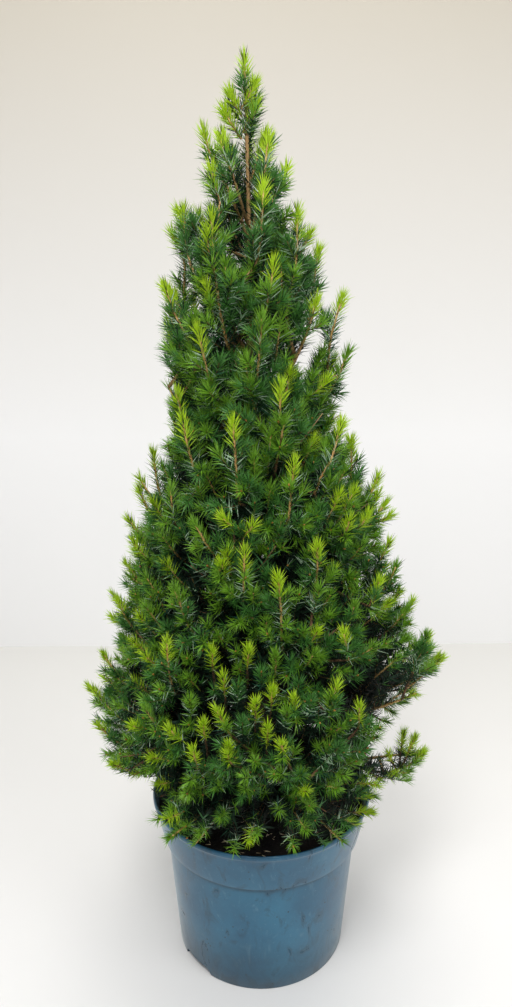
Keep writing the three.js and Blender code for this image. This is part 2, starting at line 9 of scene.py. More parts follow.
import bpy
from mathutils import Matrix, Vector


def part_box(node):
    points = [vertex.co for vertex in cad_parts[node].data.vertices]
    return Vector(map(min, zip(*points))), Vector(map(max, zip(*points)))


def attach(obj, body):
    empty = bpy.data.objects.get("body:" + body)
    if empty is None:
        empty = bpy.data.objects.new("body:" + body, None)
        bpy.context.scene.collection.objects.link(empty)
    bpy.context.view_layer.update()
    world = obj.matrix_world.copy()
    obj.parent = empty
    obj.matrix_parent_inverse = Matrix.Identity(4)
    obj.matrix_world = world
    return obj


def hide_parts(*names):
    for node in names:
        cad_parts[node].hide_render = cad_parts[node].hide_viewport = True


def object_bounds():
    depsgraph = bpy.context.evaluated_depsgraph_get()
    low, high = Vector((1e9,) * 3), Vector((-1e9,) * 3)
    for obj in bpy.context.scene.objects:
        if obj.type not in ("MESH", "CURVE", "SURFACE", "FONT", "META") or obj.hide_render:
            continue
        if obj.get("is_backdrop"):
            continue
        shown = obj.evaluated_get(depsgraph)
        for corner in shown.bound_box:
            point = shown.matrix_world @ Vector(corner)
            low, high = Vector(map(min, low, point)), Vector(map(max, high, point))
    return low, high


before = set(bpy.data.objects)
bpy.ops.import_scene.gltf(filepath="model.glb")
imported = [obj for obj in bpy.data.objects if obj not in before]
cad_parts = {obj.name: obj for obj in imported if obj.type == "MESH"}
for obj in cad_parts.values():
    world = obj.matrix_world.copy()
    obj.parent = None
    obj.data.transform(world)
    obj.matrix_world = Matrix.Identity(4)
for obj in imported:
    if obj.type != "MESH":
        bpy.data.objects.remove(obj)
cad_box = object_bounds()
nodes = sorted(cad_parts)
masses = [name for name in nodes if name.startswith("foliage_")]
boughs = [name for name in nodes if name.startswith("bough_")]
print(len(nodes), "solids,", len(masses), "of them masses of foliage")

# %% Tools from outside
import math

import bmesh
import bpy
import numpy as np
from mathutils import Vector, noise

MM = 0.001


def seeded(seed):
    """The same random numbers as in the part's source: a linear congruential generator."""
    state = seed

    def random():
        nonlocal state
        state = (state * 1664525 + 1013904223) & 0xFFFFFFFF
        return state / 4294967296

    return random


# %% [markdown]
# ## The camera
# A phone at chest height looks down at the plant from about three quarters of a metre. The strong
# perspective comes from that short distance, so the camera stands just as near. A lens of 29 mm on
# a 36 mm sensor gives the same angle of view.

# %% Camera
camera = bpy.data.objects.new("camera", bpy.data.cameras.new("camera"))
bpy.context.scene.collection.objects.link(camera)
camera.location = (-0.0056, -0.769, 0.707)
camera.rotation_euler = (math.radians(90 - 15.5), 0, 0)
camera.data.sensor_width = 36
camera.data.lens = 29.3
camera.data.clip_start = 0.01
bpy.context.scene.camera = camera
print("camera at", tuple(round(x, 3) for x in camera.location))

# %% [markdown]
# ## Helpers for materials and meshes
# Colours are written as the hex values that a paint program shows. Blender reckons in linear
# light, so one function turns them. Node trees are easier to read when one small function adds a
# node with its settings and links. Meshes with a million faces can't be typed in face by face, so
# their corners are worked out as arrays and handed over in one go.

# %% Helpers
def linear(code, alpha=1.0):
    """An sRGB hex value as linear red, green, blue and alpha."""
    parts = [int(code[i : i + 2], 16) / 255 for i in (1, 3, 5)]
    return tuple(c / 12.92 if c <= 0.04045 else ((c + 0.055) / 1.055) ** 2.4 for c in parts) + (alpha,)


def add(tree, kind, inputs=None, **settings):
    """Adds a node. A value in `inputs` is a number or colour, or another node's output to link."""
    node = tree.nodes.new(kind)
    for name, value in settings.items():
        setattr(node, name, value)
    for socket, value in (inputs or {}).items():
        if isinstance(value, bpy.types.NodeSocket):
            tree.links.new(value, node.inputs[socket])
        else:
            node.inputs[socket].default_value = value
    return node


def start_material(name, **constants):
    """A material with its shader, whose constants are set on the shader's own sockets."""
    material = bpy.data.materials.new(name)
    material.use_nodes = True
    shader = material.node_tree.nodes["Principled BSDF"]
    for socket, value in constants.items():
        shader.inputs[socket.replace("_", " ")].default_value = value
    return material, material.node_tree, shader


def blend_colours(tree, factor, low, high):
    """Goes from one colour to another as the factor goes from 0 to 1."""
    mixed = add(tree, "ShaderNodeMix", data_type="RGBA")
    tree.links.new(factor, mixed.inputs[0])
    for index, colour in ((6, low), (7, high)):
        if isinstance(colour, bpy.types.NodeSocket):
            tree.links.new(colour, mixed.inputs[index])
        else:
            mixed.inputs[index].default_value = linear(colour)
    return mixed.outputs[2]


def steps(tree, value, low, high, to_low=0.0, to_high=1.0):
    """Stretches a value from low..high to 0..1 and clamps it."""
    node = add(tree, "ShaderNodeMapRange", {"Value": value, "From Min": low, "From Max": high,
                                            "To Min": to_low, "To Max": to_high})
    return node.outputs[0]


def object_place(tree):
    """Each point's place in the object's own coordinates."""
    return add(tree, "ShaderNodeTexCoord").outputs["Object"]


def height_of(tree, place):
    return add(tree, "ShaderNodeSeparateXYZ", {0: place}).outputs[2]


def noise_at(tree, place, scale, **inputs):
    return add(tree, "ShaderNodeTexNoise", {"Vector": place, "Scale": scale, **inputs}).outputs[0]


def reckon(tree, operation, first, second):
    return add(tree, "ShaderNodeMath", {0: first, 1: second}, operation=operation).outputs[0]


def press(tree, shader, height, strength, distance):
    """Presses a pattern into the shading as bumps."""
    bump = add(tree, "ShaderNodeBump", {"Height": height, "Strength": strength, "Distance": distance})
    tree.links.new(bump.outputs[0], shader.inputs["Normal"])


def joined_mesh(name, corners, faces, material, smooth=False):
    """One object from arrays: corners in millimetres, faces as rows of three or four corners."""
    mesh = bpy.data.meshes.new(name)
    corners = np.ascontiguousarray(corners, float) * MM
    faces = np.ascontiguousarray(faces, np.int32)
    mesh.vertices.add(len(corners))
    mesh.vertices.foreach_set("co", corners.ravel())
    mesh.loops.add(faces.size)
    mesh.loops.foreach_set("vertex_index", faces.ravel())
    mesh.polygons.add(len(faces))
    mesh.polygons.foreach_set("loop_start", np.arange(0, faces.size, faces.shape[1], dtype=np.int32))
    mesh.polygons.foreach_set("use_smooth", np.full(len(faces), smooth))
    mesh.update(calc_edges=True)
    mesh.materials.append(material)
    piece = bpy.data.objects.new(name, mesh)
    bpy.context.scene.collection.objects.link(piece)
    return piece


def keep(piece, slot, *replaced):
    """Hangs a piece on the plant's one body, an empty, and hides the solids that it replaces."""
    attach(piece, "root")
    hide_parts(*replaced)
    print(piece.name, len(piece.data.polygons), "faces")


# %% [markdown]
# ## The rule: trunk and crown
# The trunk leans a little and sways. Round it, the crown's outline is a table of heights with the
# radius on the left and on the right. How far the shoots lean out from upright depends only on the
# height: flat at the skirt and straight up at the top. These are the values of the part's source.

# %% Trunk and crown
SEED = 7
POT_RIM, POT_TOP = 115, 180
GROUND, CROWN_TOP = 170.3, 886
GOLDEN_ANGLE = 180 * (3 - math.sqrt(5))
TRUNK = {"top": 716, "foot": 9, "tip": 2.4, "flare": 4.5, "flare_height": 22, "lean": -17, "sway": 2.5}
CROWN = np.array([
    (184, 80, 78), (192, 138, 140), (212, 163, 176), (250, 174, 164), (292, 180, 168),
    (335, 166, 186), (395, 142, 152), (460, 134, 126), (520, 112, 116), (565, 88, 94),
    (640, 88, 84), (700, 82, 68), (750, 66, 54), (800, 44, 36), (845, 22, 20), (886, 5, 5)], float)
LEAN = np.array([(184, 94), (235, 78), (300, 56), (380, 40), (500, 28), (650, 16), (800, 7), (886, 2)], float)


def trunk_at(height):
    height = np.asarray(height, float)
    share = np.maximum((height - GROUND) / (CROWN_TOP - GROUND), 0)
    swing = 2 * math.pi * share
    return np.stack([TRUNK["lean"] * share**1.2 + TRUNK["sway"] * np.sin(1.4 * swing),
                     TRUNK["sway"] * (np.sin(swing + 1) - math.sin(1)), height], -1)


def trunk_radius(height):
    share = np.clip((np.asarray(height, float) - GROUND) / (TRUNK["top"] - GROUND), 0, 1)
    flare = TRUNK["flare"] * np.exp(-(height - GROUND) / (TRUNK["flare_height"] / 2))
    return TRUNK["foot"] + (TRUNK["tip"] - TRUNK["foot"]) * share**0.85 + flare


def outward(azimuth):
    turn = np.radians(azimuth)
    return np.stack([np.cos(turn), np.sin(turn), np.zeros_like(turn)], -1)


def crown_radius(height, azimuth):
    left = np.interp(height, CROWN[:, 0], CROWN[:, 1])
    right = np.interp(height, CROWN[:, 0], CROWN[:, 2])
    return (left + right) / 2 + (right - left) / 2 * np.cos(np.radians(azimuth))


def shoot_direction(height, azimuth):
    lean = math.radians(np.interp(height, LEAN[:, 0], LEAN[:, 1]))
    return outward(azimuth) * math.sin(lean) + np.array([0, 0, math.cos(lean)])


def crown_point(height, azimuth, depth=0.0):
    return trunk_at(height) + outward(azimuth) * (crown_radius(height, azimuth) - depth)


def depth_in_crown(points):
    """How deep points lie under the crown's surface; what lies outside is below zero."""
    axis = trunk_at(points[..., 2])
    x, y = points[..., 0] - axis[..., 0], points[..., 1] - axis[..., 1]
    radius = crown_radius(points[..., 2], np.degrees(np.arctan2(y, x)))
    return radius - np.hypot(x, y)


print("crown", 2 * crown_radius(292, 90), "mm wide at 292 mm")

# %% [markdown]
# ## The rule: limbs
# Boughs leave the trunk in storeys. Each is one smooth curve that ends in line with the shoots at
# its tip. A limb that would crowd an earlier one is turned to one side. The random numbers come in
# the same order as in the source, so the limbs are the same ones, and the print shows how far each
# lies from its solid.

# %% Limbs
STOREYS = [  # name, how many, height of the tips, zigzag, rise, bare share, first azimuth
    ("skirt", 6, 212, 3, 22, 0.42, 4), ("low", 6, 306, 20, 66, 0.42, -12),
    ("middle", 5, 405, 16, 110, 0.38, 10), ("high", 5, 508, 18, 135, 0.36, 46),
    ("upper", 4, 618, 20, 135, 0.34, 20), ("spire", 4, 722, 26, 112, 0, 62)]
BOUGH = {"root": 4.6, "tip": 1.5, "bend": 0.55, "apart": 14}


def bezier(a, b, c, count):
    t = np.linspace(0, 1, count)[:, None]
    return (1 - t) ** 2 * a + 2 * t * (1 - t) * b + t**2 * c


def lengths(path):
    return np.concatenate([[0], np.cumsum(np.linalg.norm(np.diff(path, axis=0), axis=1))])


def along(path, distances):
    """Points at these distances from a path's start, measured along it."""
    run = lengths(path)
    return np.stack([np.interp(distances, run, path[:, i]) for i in range(3)], -1)


def limb_path(rise, height, azimuth):
    tip, root = crown_point(height, azimuth), trunk_at(height - rise)
    back = BOUGH["bend"] * np.linalg.norm(tip - root)
    return bezier(root, tip - back * shoot_direction(height, azimuth), tip, 201)


def spaced(path, count):
    return along(path, np.linspace(0, lengths(path)[-1], count))


def grow_limbs():
    random = seeded(SEED)
    limbs = []
    for name, count, tip, zigzag, rise, bare, first in STOREYS:
        for i in range(count):
            place = first + 360 * (i + 0.22 * (random() - 0.5)) / count
            height = tip + zigzag * (-1 if i % 2 else 1) + 8 * (random() - 0.5)
            for turn in (0, 7, -7, 14, -14, 21, -21, 0):
                path = limb_path(rise, height, place + turn)
                here = spaced(path, 31)[2:, None]
                near = [np.linalg.norm(here - spaced(other["path"], 31)[None, 2:], axis=2).min()
                        for other in limbs]
                if not near or min(near) > BOUGH["apart"]:
                    break
            limbs.append({"name": f"{name}_{i + 1}", "path": path, "bare": bare, "height": height})
    leader = bezier(trunk_at(716.3), trunk_at(801), trunk_at(886), 201)
    limbs.append({"name": "leader", "path": leader, "bare": 0, "height": CROWN_TOP})
    return limbs


def limb_radius(limb, share):
    thick = BOUGH["root"] * (lengths(limb["path"])[-1] / 190) ** 0.5 if limb["bare"] else TRUNK["tip"]
    return thick + (BOUGH["tip"] - thick) * share**0.8


limbs = grow_limbs()
for limb in limbs:
    limb["length"] = lengths(limb["path"])[-1]
    limb["stem"] = along(limb["path"], limb["length"] * np.linspace(limb["bare"], 1, 13))
stems = np.array([limb["stem"] for limb in limbs])
off = []
for limb in limbs:
    low, high = (np.array(corner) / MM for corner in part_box("foliage_" + limb["name"]))
    off.append(np.maximum(low - limb["path"][-1], limb["path"][-1] - high).max())
print(len(limbs), "limbs, the tips lie at most", round(max(off), 2), "mm outside their solids")

# %% [markdown]
# ## The rule: what belongs to which limb
# A point of the crown belongs to the limb whose stem is nearest. Half the difference to the next
# nearest stem says how far it lies inside that limb's own space. Twigs end a little deeper where
# two such spaces meet, which gives the crown its soft lobes with dark hollows between them.

# %% Spaces
SPRAY = {"length": 72, "top_length": 42, "raggedness": 8, "hollow": 11, "reach": 34}
# The wall shows round the low arm on the right, between shoots along both edges, and through slits
# higher up. The last four, which are short, open the view of the young trunk.
GAPS = np.array([  # from and to along the line of sight, then the radius
    (111, -105, 301, 149, 110, 170, 12.5), (121, -110, 320, 164, 110, 191, 6),
    (136, -110, 331, 179, 110, 197, 8), (90, -100, 278, 122, 110, 150, 4),
    (121, -110, 348, 163, 110, 228, 4.5), (-85, -110, 633, -112, 110, 609, 5.7),
    (-82, -110, 619, -108, 110, 589, 5.7), (-84, -110, 601, -111, 110, 566, 6.6),
    (-81, -110, 586, -106, 110, 547, 4.8), (109, -110, 242, 147, 110, 87, 6.6),
    (122, -110, 236, 166, 110, 78, 7.6), (111, -110, 198, 151, 110, 28, 7.6),
    (-131, -110, 255, -173, 110, 104, 7.6), (-115, -110, 250, -153, 110, 97, 6.6),
    (-102, -110, 523, -134, 110, 461, 5), (-112, -110, 529, -148, 110, 470, 5),
    (40, -110, 658, 56, 110, 642, 2.4), (32, -110, 641, 44, 110, 619, 2.4),
    (36, -110, 728, 56, 110, 586, 2.2), (-58, -110, 750, -76, 110, 606, 3.2),
    (-93, -110, 542, -123, 110, 487, 6.5), (-77, -110, 623, -101, 110, 595, 5),
    (-70, -110, 718, -91, 110, 721, 5), (145, -110, 354, 195, 110, 236, 7),
    (111, -110, 329, 150, 110, 203, 4), (108, -110, 223, 146, 110, 61, 5),
    (-13, -110, 798, -14, -7, 812, 2.8), (-13, -110, 782, -14, -7, 794, 2.8),
    (-13, -110, 767, -14, -7, 776, 3), (-13, -110, 751, -14, -7, 758, 3)], float)


def stem_distances(point):
    """The distance to every limb's stem, with the nearest point's share of its length."""
    a, b = stems[:, :-1], stems[:, 1:]
    u = b - a
    t = np.clip(((point - a) * u).sum(2) / (u * u).sum(2), 0, 1)
    nearest = a + t[..., None] * u
    distance = np.linalg.norm(nearest - point, axis=2)
    best = distance.argmin(1)
    rows = np.arange(len(limbs))
    return distance[rows, best], (best + t[rows, best]) / a.shape[1], nearest[rows, best]


def room_in_space(index, point):
    distance = stem_distances(point)[0]
    others = np.delete(distance, index)
    return (others.min() - distance[index]) / 2


def keep_in_space(index, point, room):
    """Draws a point towards its own stem until it lies `room` inside its limb's space."""
    for _ in range(6):
        found = room_in_space(index, point)
        if found >= room:
            break
        target = stem_distances(point)[2][index]
        reach = max(1, np.linalg.norm(target - point))
        point = point + (target - point) * min(0.5, (room - found) / reach)
    return point


def in_gap(points, margin=0.0):
    """Whether points lie in one of the crown's open gaps."""
    inside = np.zeros(points.shape[:-1], bool)
    for row in GAPS:
        start, line = row[:3], row[3:6] - row[:3]
        t = np.clip(((points - start) @ line) / (line @ line), 0, 1)
        inside |= np.linalg.norm(points - start - t[..., None] * line, axis=-1) < row[6] + margin
    return inside


def in_pot(points, margin=0.0):
    """Whether points lie in the pot, its soil or the trunk."""
    x, y, z = points[..., 0], points[..., 1], points[..., 2]
    radius = np.hypot(x, y)
    return ((radius < POT_RIM + 2 + margin) & (z < POT_TOP + 1 + margin) & (radius > POT_RIM - 6 - margin)) | (
        (radius < POT_RIM) & (z < GROUND + 1)) | (z < 172)


def under_skirt(points):
    """Whether points hang lower than the skirt, which is lifted clear of the rim all round."""
    radius = np.hypot(points[..., 0], points[..., 1])
    return points[..., 2] < np.interp(radius, [60, 92, 100, 120], [174, 190, 198, 210])


print("the arm's tip has", round(room_in_space(0, limbs[0]["path"][-1]), 1), "mm of room")

# %% [markdown]
# ## The rule: spires
# Small spires stand all over the crown, each a shoot of this year on an older twig. Sixty stood for them in the
# solids; here there are over five times as many, dealt out by the same spiral of golden angles. The ones that
# stand out most are listed: height and azimuth of the tip, then height, azimuth and depth of the place where the
# shoot comes out of the crown.

# %% Spires
SPIRES = 330
SKIRT_FLOOR = 203  # no spire ends lower, so the soil shows inside the rim
BRUSH = 6.5  # the needles of a tip reach this far beyond the twig
SPACING = {"below": 620, "low": 0.34, "high": 0.46}  # least distance of tips, as a share of a spray
LOOSE_TOP = {"from": 690, "over": 60, "deeper": 9}  # the top is loose, and its own shoots stand out
EDGE_PUSH = 2  # shoots on the edge stand this much further out
RUN_ON = 3.5  # the tips of shoots given one by one run on by this much
SLIM = 19  # a shoot given one by one with this much new growth is as slim as a side shoot
LEADING = [
    (824, 219, 789, 244, 16), (823, 310, 773, 286, 19), (801, 355, 767, 303, 16), (784, 287, 718, 278, 24),
    (800, 221, 767, 233, 16), (767, 186, 704, 215, 24), (760, 237, 645, 249, 38), (765, 328, 674, 315, 31),
    (722, 289, 679, 284, 20), (702, 202, 645, 216, 26), (680, 278, 599, 275, 32), (650, 212, 629, 229, 19),
    (668, 238, 587, 247, 33), (615, 223, 574, 216, 21), (624, 288, 556, 289, 30), (594, 228, 531, 234, 31),
    (595, 261, 515, 263, 36), (561, 294, 489, 288, 35), (585, 337, 519, 313, 34), (563, 359, 505, 356, 28),
    (535, 228, 497, 226, 22), (511, 244, 475, 251, 24), (492, 267, 437, 264, 29), (471, 279, 390, 281, 40),
    (492, 297, 444, 299, 26), (517, 256, 500, 262, 16), (511, 272, 495, 266, 15), (455, 238, 398, 241, 33),
    (406, 189, 373, 193, 26), (444, 331, 416, 325, 23), (354, 3, 335, 342, 32), (418, 301, 381, 305, 23),
    (408, 236, 345, 234, 35), (301, 183, 279, 199, 39), (300, 206, 264, 204, 30), (273, 216, 255, 214, 22),
    (363, 256, 328, 260, 26), (328, 250, 284, 249, 26), (380, 295, 343, 292, 26), (360, 300, 325, 302, 23),
    (347, 231, 322, 233, 21), (339, 241, 317, 243, 21), (374, 280, 352, 281, 18), (329, 260, 306, 261, 17),
    (340, 275, 314, 277, 18), (436, 310, 414, 310, 17), (502, 336, 483, 333, 17), (506, 317, 485, 319, 16)]


# Shoots that stand proud of the crown against the wall: left-right place and height of the points,
# tip first.
EDGES = [
    [(-50, 832), (-46, 816), (-39, 798), (-28, 780)], [(49, 734), (46, 719), (44, 699)],
    [(72, 693), (65, 670), (60, 649)], [(79, 645), (74, 631), (66, 610)],
    [(111, 527), (105, 509), (95, 488), (88, 469)], [(127, 486), (115, 478), (97, 471)],
    [(-130, 483), (-122, 471), (-109, 453)], [(-134, 438), (-126, 425), (-113, 406)],
    [(-126, 450), (-119, 441), (-108, 427)], [(-161, 341), (-153, 324), (-138, 306)],
    [(150, 399), (144, 381), (134, 365)], [(186, 335), (176, 325), (163, 312), (151, 300)],
    [(125, 461), (120, 449), (112, 432)], [(133, 437), (128, 424), (121, 404)],
    [(43, 747), (36, 735), (28, 721)], [(-80, 748), (-75, 737), (-67, 723)],
    [(-129, 406), (-124, 393), (-115, 379)], [(-152, 380), (-142, 372), (-127, 361)],
    [(-102, 550), (-100, 531), (-97, 509)], [(-117, 515), (-114, 500), (-106, 486)],
    [(-143, 350), (-137, 339), (-126, 324)], [(-55, 765), (-52, 751), (-48, 738)],
    [(74, 577), (70, 565), (61, 552)], [(85, 558), (78, 546), (69, 533)],
    [(112, 509), (105, 493), (96, 477)], [(-179, 303), (-170, 294), (-155, 280)],
    [(-149, 404), (-140, 393), (-128, 382)], [(-89, 701), (-82, 693), (-73, 683)],
    [(-74, 766), (-69, 756), (-61, 745)], [(121, 500), (114, 489), (104, 478)],
    [(138, 408), (132, 398), (124, 385)]]
# Whorls of short shoots on the leader, in the same way.
WHORLS = [
    [(-5, 869), (-10, 858), (-18, 845)], [(-30, 862), (-25, 851), (-18, 839)],
    [(-35, 848), (-29, 836), (-18, 821)], [(-2, 852), (-9, 841), (-17, 826)],
    [(5, 829), (-1, 816), (-6, 800), (-12, 782)], [(-36, 829), (-31, 814), (-24, 800)]]
# Twigs round the open gap on the right, the bough over it, upright shoots low on the front, and
# shoots that hang over the soil: points on the way, then how much of it is this year's.
BY_HAND = [
    ([(97, 0, 204), (114, 0, 197), (131, -2, 195), (148, -4, 202), (160, -6, 210), (168, -8, 221)], 44),
    ([(148, -4, 202), (152, -8, 216), (155, -12, 231), (158, -14, 241)], 26),
    ([(147, -4, 202), (147, -4, 217), (148, -4, 230), (149, -4, 241)], 20),
    ([(143, -6, 203), (137, -12, 216), (133, -16, 226)], 16),
    ([(131, -4, 197), (125, -24, 217), (120, -38, 234)], 22),
    ([(120, -6, 201), (109, -24, 225), (103, -36, 247)], 22),
    ([(92, -20, 220), (97, -34, 247), (99, -44, 266)], 22),
    ([(143, -6, 202), (149, -14, 203), (153, -20, 209)], 18),
    ([(128, -8, 199), (134, -20, 204), (138, -26, 209)], 14),
    ([(113, -8, 202), (118, -20, 204), (121, -24, 204)], 14),
    ([(92, -30, 200), (103, -40, 197), (111, -44, 197)], 18),
    ([(95, 10, 225), (107, 10, 246), (115, 8, 262), (123, 6, 277), (128, 4, 288),
      (139, 2, 297), (154, 0, 303), (163, -2, 311), (172, -4, 322), (177, -6, 330)], 62),
    ([(138, 2, 297), (147, -2, 312), (153, -6, 327), (159, -8, 341), (163, -10, 352), (164, -11, 356)], 46),
    ([(128, 4, 288), (140, 4, 290), (150, 4, 292), (155, 4, 289)], 10),
    ([(124, 6, 275), (135, 6, 275), (146, 6, 275)], 10), ([(124, 6, 274), (130, 6, 268), (135, 6, 265)], 8),
    ([(117, 8, 260), (125, 8, 254), (130, 8, 252)], 8),
    ([(99, -10, 345), (115, -10, 354), (127, -12, 365), (136, -12, 376), (142, -12, 385)], 26),
    ([(102, -14, 325), (120, -14, 334), (133, -14, 345), (142, -14, 356)], 19),
    ([(114, -6, 303), (131, -8, 315), (143, -10, 329), (149, -12, 344)], 26),
    ([(102, -20, 303), (114, -30, 318), (122, -36, 329)], 19),
    ([(109, -30, 339), (119, -40, 353), (124, -44, 363)], 19),
    ([(111, -40, 357), (124, -50, 368), (135, -54, 374)], 19),
    ([(-21, -127, 328), (-21, -140, 352), (-21, -146, 371)], 19),
    ([(-7, -128, 313), (-6, -147, 341), (-6, -153, 360)], 24),
    ([(6, -130, 326), (7, -143, 350), (8, -149, 369)], 24),
    ([(17, -127, 304), (19, -150, 335), (20, -156, 354)], 19),
    ([(-18, -127, 294), (-17, -148, 324), (-17, -158, 346)], 19),
    ([(-48, -120, 287), (-49, -139, 317), (-50, -152, 341)], 24),
    ([(-32, -123, 335), (-32, -134, 358), (-33, -140, 377)], 24),
    ([(-2, -127, 342), (-1, -137, 364), (-1, -143, 383)], 19),
    ([(26, -129, 333), (29, -139, 355), (30, -145, 374)], 19),
    ([(-13, -118, 358), (-13, -128, 380), (-12, -136, 400)], 24),
    ([(9, -121, 356), (11, -130, 377), (11, -137, 396)], 24),
    ([(35, -124, 312), (38, -144, 341), (40, -150, 360)], 19),
    ([(-59, -114, 306), (-61, -133, 334), (-62, -140, 355)], 19),
    ([(3, -127, 288), (4, -149, 319), (4, -161, 342)], 24),
    ([(-29, -122, 266), (-29, -146, 299), (-29, -161, 325)], 24),
    ([(51, -119, 313), (55, -139, 342), (57, -144, 361)], 19),
    ([(-41, -111, 353), (-43, -122, 376), (-43, -130, 396)], 24),
    ([(79, -36, 186), (92, -44, 194), (104, -48, 197)], 22),
    ([(80, -50, 179), (95, -58, 188), (105, -60, 189)], 22),
    ([(-30, -52, 200), (-45, -66, 195), (-62, -80, 193), (-80, -86, 191)], 19),
    ([(-24, -60, 222), (-36, -92, 222), (-33, -104, 214), (-31, -110, 208)], 19),
    ([(-10, -70, 214), (-14, -94, 216), (-14, -102, 208)], 19),
    ([(20, -64, 226), (33, -94, 226), (40, -108, 220), (41, -114, 214)], 24),
    ([(10, -84, 232), (16, -104, 238), (21, -112, 237)], 19),
    ([(-50, -62, 210), (-62, -84, 214), (-70, -94, 210)], 19),
    ([(60, -64, 205), (78, -80, 200), (88, -84, 195)], 19)]


def spray_length(height):
    share = (height - CROWN[0, 0]) / (CROWN_TOP - CROWN[0, 0])
    return SPRAY["length"] + (SPRAY["top_length"] - SPRAY["length"]) * share


def deal_tips(count):
    """Evenly over the crown's surface, and closer together towards the top."""
    random = seeded(SEED + 1)
    z, r = CROWN[:, 0], CROWN[:, 1]
    crowding = (SPRAY["length"] / spray_length((z[:-1] + z[1:]) / 2)) ** 2
    areas = np.concatenate([[0], np.cumsum(crowding * np.hypot(np.diff(z), np.diff(r)) * (r[:-1] + r[1:]))])
    tips = []
    for i in range(count):
        height = np.interp(areas[-1] * (i + 0.5) / count, areas, z)
        tips.append((height, GOLDEN_ANGLE * i + 14 * (random() - 0.5), SPRAY["raggedness"] * random()))
    return tips


def smooth_path(points, count):
    """A curve through the points (Catmull-Rom)."""
    points = np.array(points, float)
    ends = np.vstack([2 * points[0] - points[1], points, 2 * points[-1] - points[-2]])
    spans = []
    for a, b, c, d in zip(ends[:-3], ends[1:-2], ends[2:-1], ends[3:]):
        t = np.linspace(0, 1, 12, endpoint=False)[:, None]
        bent, twisted = 2 * a - 5 * b + 4 * c - d, 3 * b - a - 3 * c + d
        spans.append(0.5 * (2 * b + (c - a) * t + bent * t**2 + twisted * t**3))
    return spaced(np.vstack([*spans, points[-1:]]), count)


def root_on_stem(foot):
    """Where the twig through `foot` leaves its limb's stem: further in, as twigs point forwards."""
    distance, share, _ = stem_distances(foot)
    index = int(distance.argmin())
    limb = limbs[index]
    back = max(0.03, share[index] - 0.25)
    return index, along(limb["path"], [limb["length"] * (limb["bare"] + (1 - limb["bare"]) * back)])[0]


def grow_spires():
    spires = []
    for height, azimuth, low, turn, depth in LEADING:
        end, foot = crown_point(height, azimuth), crown_point(low, turn, depth)
        end = end + BRUSH * (foot - end) / np.linalg.norm(foot - end)
        index, root = root_on_stem(foot)
        bow = (foot + end) / 2 + 0.05 * np.linalg.norm(end - foot) * outward(azimuth)
        spires.append({"path": smooth_path([root, foot, bow, end], 40), "leading": True,
                       "new": np.linalg.norm(end - foot)})
    for row in EDGES + WHORLS:
        points = np.array([(x, -6 if row in EDGES else -3, z) for x, z in row[::-1]], float)
        points[:, 0] += EDGE_PUSH * np.sign(points[:, 0]) if row in EDGES else 0
        run = lengths(points)[-1]
        points = along(points, np.linspace(0, run - BRUSH, 6))
        root = [root_on_stem(points[0])[1]] if row in EDGES else []
        spires.append({"path": smooth_path([*root, *points], 36), "leading": True, "new": run + 20, "proud": True,
                       "by_hand": row in WHORLS})
    tips = np.array([spire["path"][-1] for spire in spires])
    for points, new in BY_HAND:
        points = np.array(points, float)
        points[-1] += RUN_ON * (points[-1] - points[-2]) / np.linalg.norm(points[-1] - points[-2])
        path = smooth_path(points, 24)
        spires.append({"path": path, "leading": new > 20, "new": max(new, 12), "by_hand": True,
                       "rank": 2 if new == SLIM else 1, "proud": True})
    for height, azimuth, depth in deal_tips(SPIRES):
        depth += LOOSE_TOP["deeper"] * np.clip((height - LOOSE_TOP["from"]) / LOOSE_TOP["over"], 0, 1)
        surface = crown_point(height, azimuth)
        apart = SPACING["low" if height < SPACING["below"] else "high"] * spray_length(height)
        if height < SKIRT_FLOOR or np.linalg.norm(tips - surface, axis=1).min() < apart:
            continue
        index = int(stem_distances(surface)[0].argmin())
        sunk = SPRAY["hollow"] * max(0, 1 - room_in_space(index, surface) / SPRAY["reach"])
        end = crown_point(height, azimuth, min(0.4 * crown_radius(height, azimuth), depth + sunk))
        end = end - BRUSH * shoot_direction(height, azimuth)
        foot = end - shoot_direction(height, azimuth) * spray_length(height)
        foot = keep_in_space(index, foot, 6)
        _, root = root_on_stem(foot)
        path = spaced(bezier(root, foot + 0.12 * (end - foot), end, 60), 40)
        if in_gap(path[8:], 6).any():
            continue
        spires.append({"path": path, "leading": False, "new": 0.85 * spray_length(height)})
    return spires


spires = grow_spires()
print(len(spires), "spires,", len(LEADING), "of them listed")

# %% [markdown]
# ## Side shoots
# Every spire carries side shoots that are longer the further they stand from its tip, and those
# carry a few of their own. A side shoot leaves at about 45 degrees and bends back towards its
# parent's direction. Each shoot is kept as one path with a few facts: how much of it is this
# year's, how densely it carries needles, and whether it ends in a bright young tuft.

# %% Side shoots
SIDE = {"first": 24, "step": 10, "reach": 128, "longest": 44, "angle": 46}


def frame_along(path):
    """A path's direction at each of its points, and two directions across it."""
    direction = np.gradient(path, axis=0)
    direction /= np.linalg.norm(direction, axis=1, keepdims=True)
    sideways = np.cross([0.31, -0.95, 0.07], direction)
    sideways /= np.linalg.norm(sideways, axis=1, keepdims=True)
    return direction, sideways, np.cross(direction, sideways)


